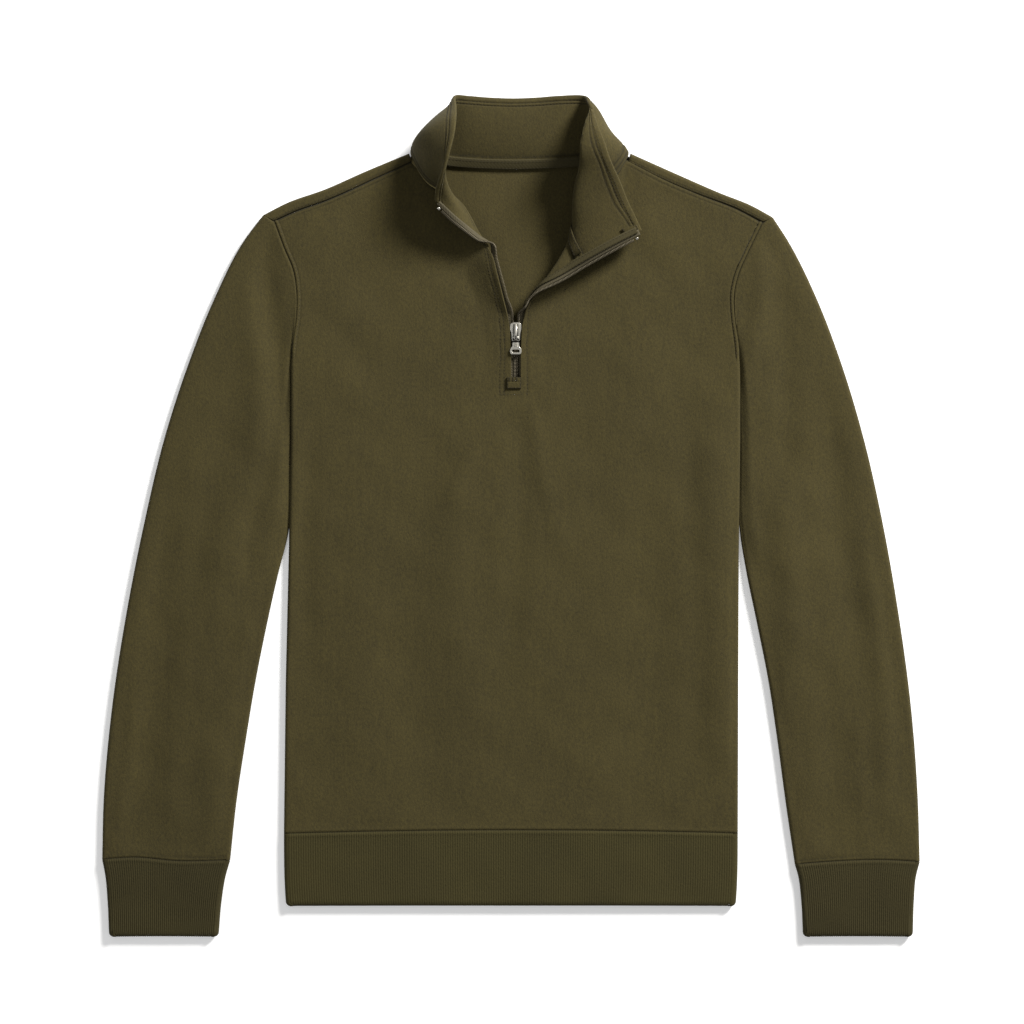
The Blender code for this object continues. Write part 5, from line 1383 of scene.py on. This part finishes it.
class Value:
    """A socket that takes part in sums: each operator adds a Math node."""

    def __init__(self, nodes, socket):
        self.nodes, self.socket = nodes, socket

    def _maths(self, operation, *others):
        return self.nodes.add("ShaderNodeMath", {"operation": operation}, *others)

    def __add__(self, other):
        return self._maths("ADD", self, other)

    __radd__ = __add__

    def __sub__(self, other):
        return self._maths("SUBTRACT", self, other)

    def __rsub__(self, other):
        return self._maths("SUBTRACT", other, self)

    def __mul__(self, other):
        return self._maths("MULTIPLY", self, other)

    __rmul__ = __mul__

    def __truediv__(self, other):
        return self._maths("DIVIDE", self, other)

    def __rtruediv__(self, other):
        return self._maths("DIVIDE", other, self)

    def __pow__(self, other):
        return self._maths("POWER", self, other)

    def __rpow__(self, other):
        return self._maths("POWER", other, self)

    def clamp(self):
        return self.nodes.add("ShaderNodeClamp", {}, self)


class Nodes:
    """One material's node tree."""

    def __init__(self, name):
        self.material = bpy.data.materials.new(name)
        self.material.use_nodes = True
        self.tree = self.material.node_tree
        self.shader = self.tree.nodes["Principled BSDF"]

    def add(self, kind, settings, *values, output=0, **named):
        """Adds a node, sets it, gives its inputs values or links and returns one output."""
        node = self.tree.nodes.new(kind)
        for key, value in settings.items():
            setattr(node, key, value)
        for key, value in [*enumerate(values), *named.items()]:
            self.give(node.inputs[key.replace("_", " ") if isinstance(key, str) else key], value)
        return Value(self, node.outputs[output])

    def give(self, socket, value):
        if isinstance(value, Value):
            self.tree.links.new(value.socket, socket)
        elif value is not None:
            socket.default_value = value

    def mix(self, amount, low, high):
        """A colour between two colours."""
        node = self.tree.nodes.new("ShaderNodeMix")
        node.data_type = "RGBA"
        for socket, value in zip((node.inputs[0], node.inputs[6], node.inputs[7]), (amount, low, high)):
            self.give(socket, value)
        return Value(self, node.outputs[2])

    def place(self, stretch=(1.0, 1.0, 1.0)):
        """Object coordinates, stretched."""
        spot = self.add("ShaderNodeTexCoord", {}, output="Object")
        return self.add("ShaderNodeVectorMath", {"operation": "MULTIPLY"}, spot, stretch)

    def axis(self, letter):
        """One of the Object coordinates."""
        return self.add("ShaderNodeSeparateXYZ", {}, self.place(), output=letter)

    def cloth_place(self):
        """Places across and along the cloth, in metres."""
        return self.add("ShaderNodeUVMap", {"uv_map": "cloth"})

    def noise(self, spot, size, detail=2.0, rough=0.5):
        """Noise from 0 to 1 whose blotches are about size metres."""
        return self.add(
            "ShaderNodeTexNoise", {}, Vector=spot, Scale=1.0 / size, Detail=detail, Roughness=rough
        )

    def mark(self, name):
        return self.add("ShaderNodeAttribute", {"attribute_name": name}, output="Fac")

    def finish(self, colour, roughness, metallic=0.0, bump=None, strength=1.0, depth=0.0005, **fixed):
        for name, value in (("Base Color", colour), ("Roughness", roughness), ("Metallic", metallic)):
            self.give(self.shader.inputs[name], value)
        for name, value in fixed.items():
            self.shader.inputs[name.replace("_", " ")].default_value = value
        if bump is not None:
            raised = self.add("ShaderNodeBump", {}, Strength=strength, Distance=depth, Height=bump)
            self.give(self.shader.inputs["Normal"], raised)
        return self.material


def shade(tone, share):
    return (*(c * share for c in tone[:3]), 1.0)


def brushed_cloth(name, tone):
    """Soft brushed sweatshirt cloth: faint clouds, short nap down the piece, flecks, and painted shade in its
    seams.
    """
    nodes = Nodes(name)
    clouds = nodes.noise(nodes.place(), 0.085, 3.0)
    streaks = nodes.noise(nodes.place((1.0, 0.16, 1.0)), 0.006, 3.0, 0.6)
    nap = nodes.noise(nodes.place((1.0, 0.55, 1.0)), 0.0016, 3.0, 0.7)
    fleck = nodes.noise(nodes.place(), 0.0006, 1.0)
    light = 0.5 + (clouds - 0.5) * 0.28 + (streaks - 0.5) * 0.25 + (nap - 0.5) * 1.1 + (fleck - 0.5) * 0.6
    # painted shade: darker where the dip mark says the cloth sinks at seams, stitching and folds
    light = light - 0.75 * nodes.mark("dip").clamp()
    tint = nodes.mix(light.clamp(), shade(tone, 0.4), shade(tone, 1.6))
    height = nap * 0.7 + fleck * 0.25 + streaks * 0.3
    rough = 0.9 + (nap - 0.5) * 0.12
    return nodes.finish(
        tint, rough.clamp(), bump=height, strength=0.55, depth=0.0007,
        Specular_IOR_Level=0.25, Sheen_Weight=SHEEN, Sheen_Roughness=0.6, Sheen_Tint=SHEEN_TINT,
    )


def ribbed_cloth(name, tone):
    """Rib knit: its ribs are in the mesh, with knit loops along each, painted shade in the valleys between
    and in its seam, and painted highlight on the crests.
    """
    nodes = Nodes(name)
    clouds = nodes.noise(nodes.place(), 0.06, 2.0)
    loops = nodes.noise(nodes.place((1.0, 0.6, 1.0)), 0.0011, 2.0, 0.6)
    # painted shade in the rib valleys and painted highlight on their crests, by the rib mark
    light = 0.5 + (clouds - 0.5) * 0.4 + (loops - 0.5) * 0.8 + (nodes.mark("rib") - 0.5) * 0.12
    # painted shade in its seam, by the dip mark
    light = light - 0.6 * nodes.mark("dip").clamp()
    tint = nodes.mix(light.clamp(), shade(tone, 0.45), shade(tone, 1.55))
    return nodes.finish(
        tint, 0.93, bump=loops, strength=0.5, depth=0.0006,
        Specular_IOR_Level=0.2, Sheen_Weight=SHEEN, Sheen_Roughness=0.6, Sheen_Tint=SHEEN_TINT,
    )


def woven_tape(name, tone, twill=0.0011, relief=0.5):
    """Narrow woven tape, with fine ridges across it."""
    nodes = Nodes(name)
    ridges = nodes.add(
        "ShaderNodeTexWave", {"wave_type": "BANDS", "bands_direction": "DIAGONAL"},
        Vector=nodes.cloth_place(), Scale=0.314 / twill, Distortion=0.6, Detail=1.0, output="Fac",
    )
    mottle = nodes.noise(nodes.place(), 0.0022, 2.0)
    light = 0.5 + (ridges - 0.5) * 0.44 * relief + (mottle - 0.5) * 0.4
    tint = nodes.mix(light.clamp(), shade(tone, 0.6), shade(tone, 1.4))
    return nodes.finish(tint, 0.82, bump=ridges, strength=relief, depth=0.0003, Specular_IOR_Level=0.3)


def within(value, low, high, soft=0.25):
    """1 where value, in metres, lies between two heights in mm, and 0 outside them."""
    over = ((value - low * MM) / (soft * MM) + 0.5).clamp()
    return over * ((high * MM - value) / (soft * MM) + 0.5).clamp()


def metal(name, tone, roughness, metallic=1.0, wear=0.0015, painted_shades=()):
    """Plated metal with faint scuffs, and painted shade where its hollows' shade and the slider's shadow
    fall.

    Each painted shade is half a width about the zip's line with a narrower half width left unshaded inside
    it, two ends along y and the height under which the tint is painted nearly black.
    """
    nodes = Nodes(name)
    scuffs = nodes.noise(nodes.place(), wear, 3.0, 0.65)
    tint = nodes.mix(scuffs, shade(tone, 0.8), shade(tone, 1.1))
    aside, along, height = (nodes.axis(axis) for axis in "XYZ")
    # painted shade: inside each patch the tint goes nearly black, in place of shade in hollows and under the
    # slider
    for bright_half, half, low, high, top in painted_shades:
        wide = within(aside, CENTRE_X - half, CENTRE_X + half)
        if bright_half:
            wide = wide * (1 - within(aside, CENTRE_X - bright_half, CENTRE_X + bright_half))
        dark = wide * within(along, low, high) * within(height, 0.0, top)
        tint = nodes.mix(dark, tint, shade(tone, 0.05))
    rough = roughness + (scuffs - 0.5) * 0.16
    return nodes.finish(tint, rough.clamp(), metallic, bump=scuffs, strength=0.12, depth=0.0001)


def thread(name, tone):
    """Twisted sewing thread."""
    nodes = Nodes(name)
    twist = nodes.noise(nodes.place(), 0.0005, 1.0)
    tint = nodes.mix(twist, shade(tone, 0.8), shade(tone, 1.2))
    return nodes.finish(tint, 0.75, bump=twist, strength=0.3, depth=0.0001, Specular_IOR_Level=0.35)


# ------------------------------------------------------------------------------------------- scene


def area_lamp(name, place, size, power, tone):
    """A round soft lamp turned to the middle of the floor."""
    data = bpy.data.lights.new(name, "AREA")
    data.shape = "DISK"
    data.size = size
    data.energy = power
    data.color = tone
    lamp = bpy.data.objects.new(name, data)
    lamp.location = place
    lamp.rotation_euler = (-Vector(place)).to_track_quat("-Z", "Y").to_euler()
    bpy.context.scene.collection.objects.link(lamp)


def studio():
    """A pale floor, even light from all round and two soft lamps."""
    bm = bmesh.new()
    bmesh.ops.create_grid(bm, x_segments=1, y_segments=1, size=FLOOR_HALF)
    mesh = bpy.data.meshes.new("floor")
    bm.to_mesh(mesh)
    bm.free()
    floor = bpy.data.objects.new("floor", mesh)
    floor.location.z = -FLOOR_GAP
    nodes = Nodes("floor")
    white = (FLOOR_TONE, FLOOR_TONE, FLOOR_TONE, 1.0)
    glow = {"Emission_Color": white, "Emission_Strength": FLOOR_GLOW}
    mesh.materials.append(nodes.finish(white, 0.9, Specular_IOR_Level=0.1, **glow))
    bpy.context.scene.collection.objects.link(floor)
    world = bpy.data.worlds.new("studio")
    world.use_nodes = True
    world.node_tree.nodes["Background"].inputs["Color"].default_value = (1.0, 1.0, 1.0, 1.0)
    world.node_tree.nodes["Background"].inputs["Strength"].default_value = ROOM_LIGHT
    bpy.context.scene.world = world
    area_lamp("key", KEY_PLACE, KEY_SIZE, KEY_POWER, KEY_TONE)
    area_lamp("fill", FILL_PLACE, FILL_SIZE, FILL_POWER, FILL_TONE)


def camera():
    """Straight down from high over the middle of the garment."""
    data = bpy.data.cameras.new("camera")
    data.lens, data.sensor_width = LENS, SENSOR
    data.clip_end = 20.0
    made = bpy.data.objects.new("camera", data)
    made.location = CAMERA_PLACE
    bpy.context.scene.collection.objects.link(made)
    bpy.context.scene.camera = made
    bpy.context.scene.view_settings.view_transform = "Standard"


def dress():
    """Every piece, its finish and what it stands for."""
    body = brushed_cloth("brushed_cloth", BODY_TONE)
    inside = brushed_cloth("brushed_inside", INSIDE_TONE)
    rib = ribbed_cloth("ribbed_cloth", RIB_TONE)
    cuff_rib = ribbed_cloth("ribbed_cuffs", CUFF_TONE)
    tape = woven_tape("zip_tape_cloth", TAPE_TONE)
    binding = woven_tape("binding", BINDING_TONE, 0.0016, 0.2)
    teeth = metal("gunmetal", GUNMETAL, 0.55, 0.55)
    nickel = metal("nickel", NICKEL, 0.3)
    # the slider's and the pull's nickel carry painted shade in their hollows and painted shadow under the
    # slider
    slider_nickel = metal("slider_nickel", NICKEL, 0.34, 0.85, painted_shades=SLIDER_PAINTED_SHADE)
    pull_nickel = metal("pull_nickel", NICKEL, 0.34, 0.85, painted_shades=PULL_PAINTED_SHADE)
    sewing = thread("sewing_thread", THREAD_TONE)

    made = {"front_panel": front_panel(body)}
    made["back_panel"], strips = back_panel(body)
    for side in SIGN:
        made["sleeve_" + side] = sleeve(side, body)
        made["cuff_" + side] = cuff(side, cuff_rib)
        made["zip_tape_" + side] = zip_tape(side, tape)
        made["zip_chain_" + side] = zip_teeth(side, teeth)
        made["zip_stop_" + side] = top_stop(side, nickel)
    made["hem_band"] = hem_band(rib)
    made["collar"], collar_lines = collar(body)
    made["neck_tape"], tape_lines = neck_tape(binding)
    made["zip_facing"], facing_lines = zip_facing(binding)
    made["zip_end_patch"], patch_lines = end_patch(inside)
    extra = {}
    extra["lapel_binding"], binding_lines = lapel_piece(
        "lapel_binding", (STATIONS - 5.0, STATIONS - 0.35), (0.006, 0.15), 0.15, inside
    )
    extra["lapel_tab"], tab_lines = lapel_piece(
        "lapel_tab", (STATIONS - 0.5, STATIONS - 0.24), (0.79, 0.985), 0.75, inside
    )
    made["zip_slider"] = slider(slider_nickel)
    made["zip_pull"] = pull_tab(pull_nickel)

    trim = TRIM_WALL / 2 + 0.05
    seams = {  # the name of its stitches, their lines and how far above the wall's middle they lie
        "collar": ("collar_stitches", collar_lines, COLLAR_WALL / 2 + 0.05),
        "neck_tape": ("neck_tape_stitches", tape_lines, trim),
        "lapel_binding": ("binding_stitches", binding_lines, trim),
        "lapel_tab": ("tab_stitches", tab_lines, trim),
        "zip_facing": ("facing_stitches", facing_lines, trim),
        "zip_end_patch": ("patch_stitches", patch_lines, PATCH_WALL / 2 + 0.05),
        "front_panel": ("front_stitches", front_stitch_lines(), WALL / 2 + 0.02),
        "back_panel": ("back_stitches", back_stitch_lines(strips), WALL / 2 + 0.02),
    }
    sewn = {node: stitches(name, lines, sewing, lift) for node, (name, lines, lift) in seams.items()}
    return made, extra, sewn


def run_of(rows, distance):
    """The line at a distance in from a grid's first row, with the way up out of the cloth."""
    spots, normals = inset_line(rows, distance)
    return spots, normals * np.where(normals[:, 2:] < 0, -1.0, 1.0)


def front_stitch_lines():
    """Stitching on the front: inside each armhole, beside the slit and across under the patch."""
    lines = []
    for side in SIGN:
        rows, _, leaf = FRONT[side]
        flat = rows[leaf:]
        above = int(np.argmax(flat[-1, :, 1] > UNDERARM_Y + 5))
        lines.append(run_of(flat[::-1, above:-3].transpose(1, 0, 2), ARMHOLE_STITCH))
        low = int(np.argmin(np.abs(rows[0, :, 1] - (SLIT_LOW_Y - 6.5))))
        lines += [run_of(rows[:, low:-4].transpose(1, 0, 2), at) for at in PLACKET_STITCH[side]]
    xs = np.linspace(*PLACKET_FOOT_X, 40)
    across = np.column_stack([xs, np.full_like(xs, SLIT_LOW_Y - PLACKET_FOOT), np.full_like(xs, TOP_MID)])
    right, left = FRONT["right"][0], FRONT["left"][0]
    for spot in across:
        near = right if spot[0] < CENTRE_X else left
        away = np.abs(near[..., 0] - spot[0]) + np.abs(near[..., 1] - spot[1])
        spot[2] = near[..., 2].flat[int(np.argmin(away))]
    lines.append(facing_up(across))
    return lines


def back_stitch_lines(strips):
    """Stitching on each shoulder strip, a little back from its seam with the front."""
    return [run_of(rows[2:-2], SHOULDER_STITCH) for rows in strips.values()]


SHEETS = {  # the cut: width, length and area before sewing, in metres
    "front_panel": (0.45, 0.64, 0.25),
    "back_panel": (0.47, 0.66, 0.27),
    "sleeve_right": (0.34, 0.60, 0.135),
    "sleeve_left": (0.34, 0.60, 0.135),
    "cuff_right": (0.23, 0.07, None),
    "cuff_left": (0.23, 0.07, None),
    "hem_band": (0.852, 0.07, None),
    "collar": (0.49, 0.125, 0.049),
    "neck_tape": (0.012, 0.16, 0.00125),
    "zip_tape_right": (0.012, 0.28, 0.0011),
    "zip_tape_left": (0.012, 0.28, 0.0011),
    "zip_facing": (0.01, 0.13, 0.00078),
    "zip_end_patch": (0.0132, 0.0107, None),
    "lapel_binding": (0.08, 0.0102, None),
}


FRONT = {side: front_half(side) for side in SIGN}
made, extra, sewn = dress()
for node, piece in made.items():
    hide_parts(node)
    "mat_" + node
for node, piece in sewn.items():
    "mat_" + (node if node in made else "collar")
tabs = {"zip_facing": [extra["lapel_tab"], sewn["lapel_tab"]]}
for node, (wide, long, area) in SHEETS.items():
    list([sewn[node]] if node in sewn else [])
    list(tabs.get(node, []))
studio()
camera()
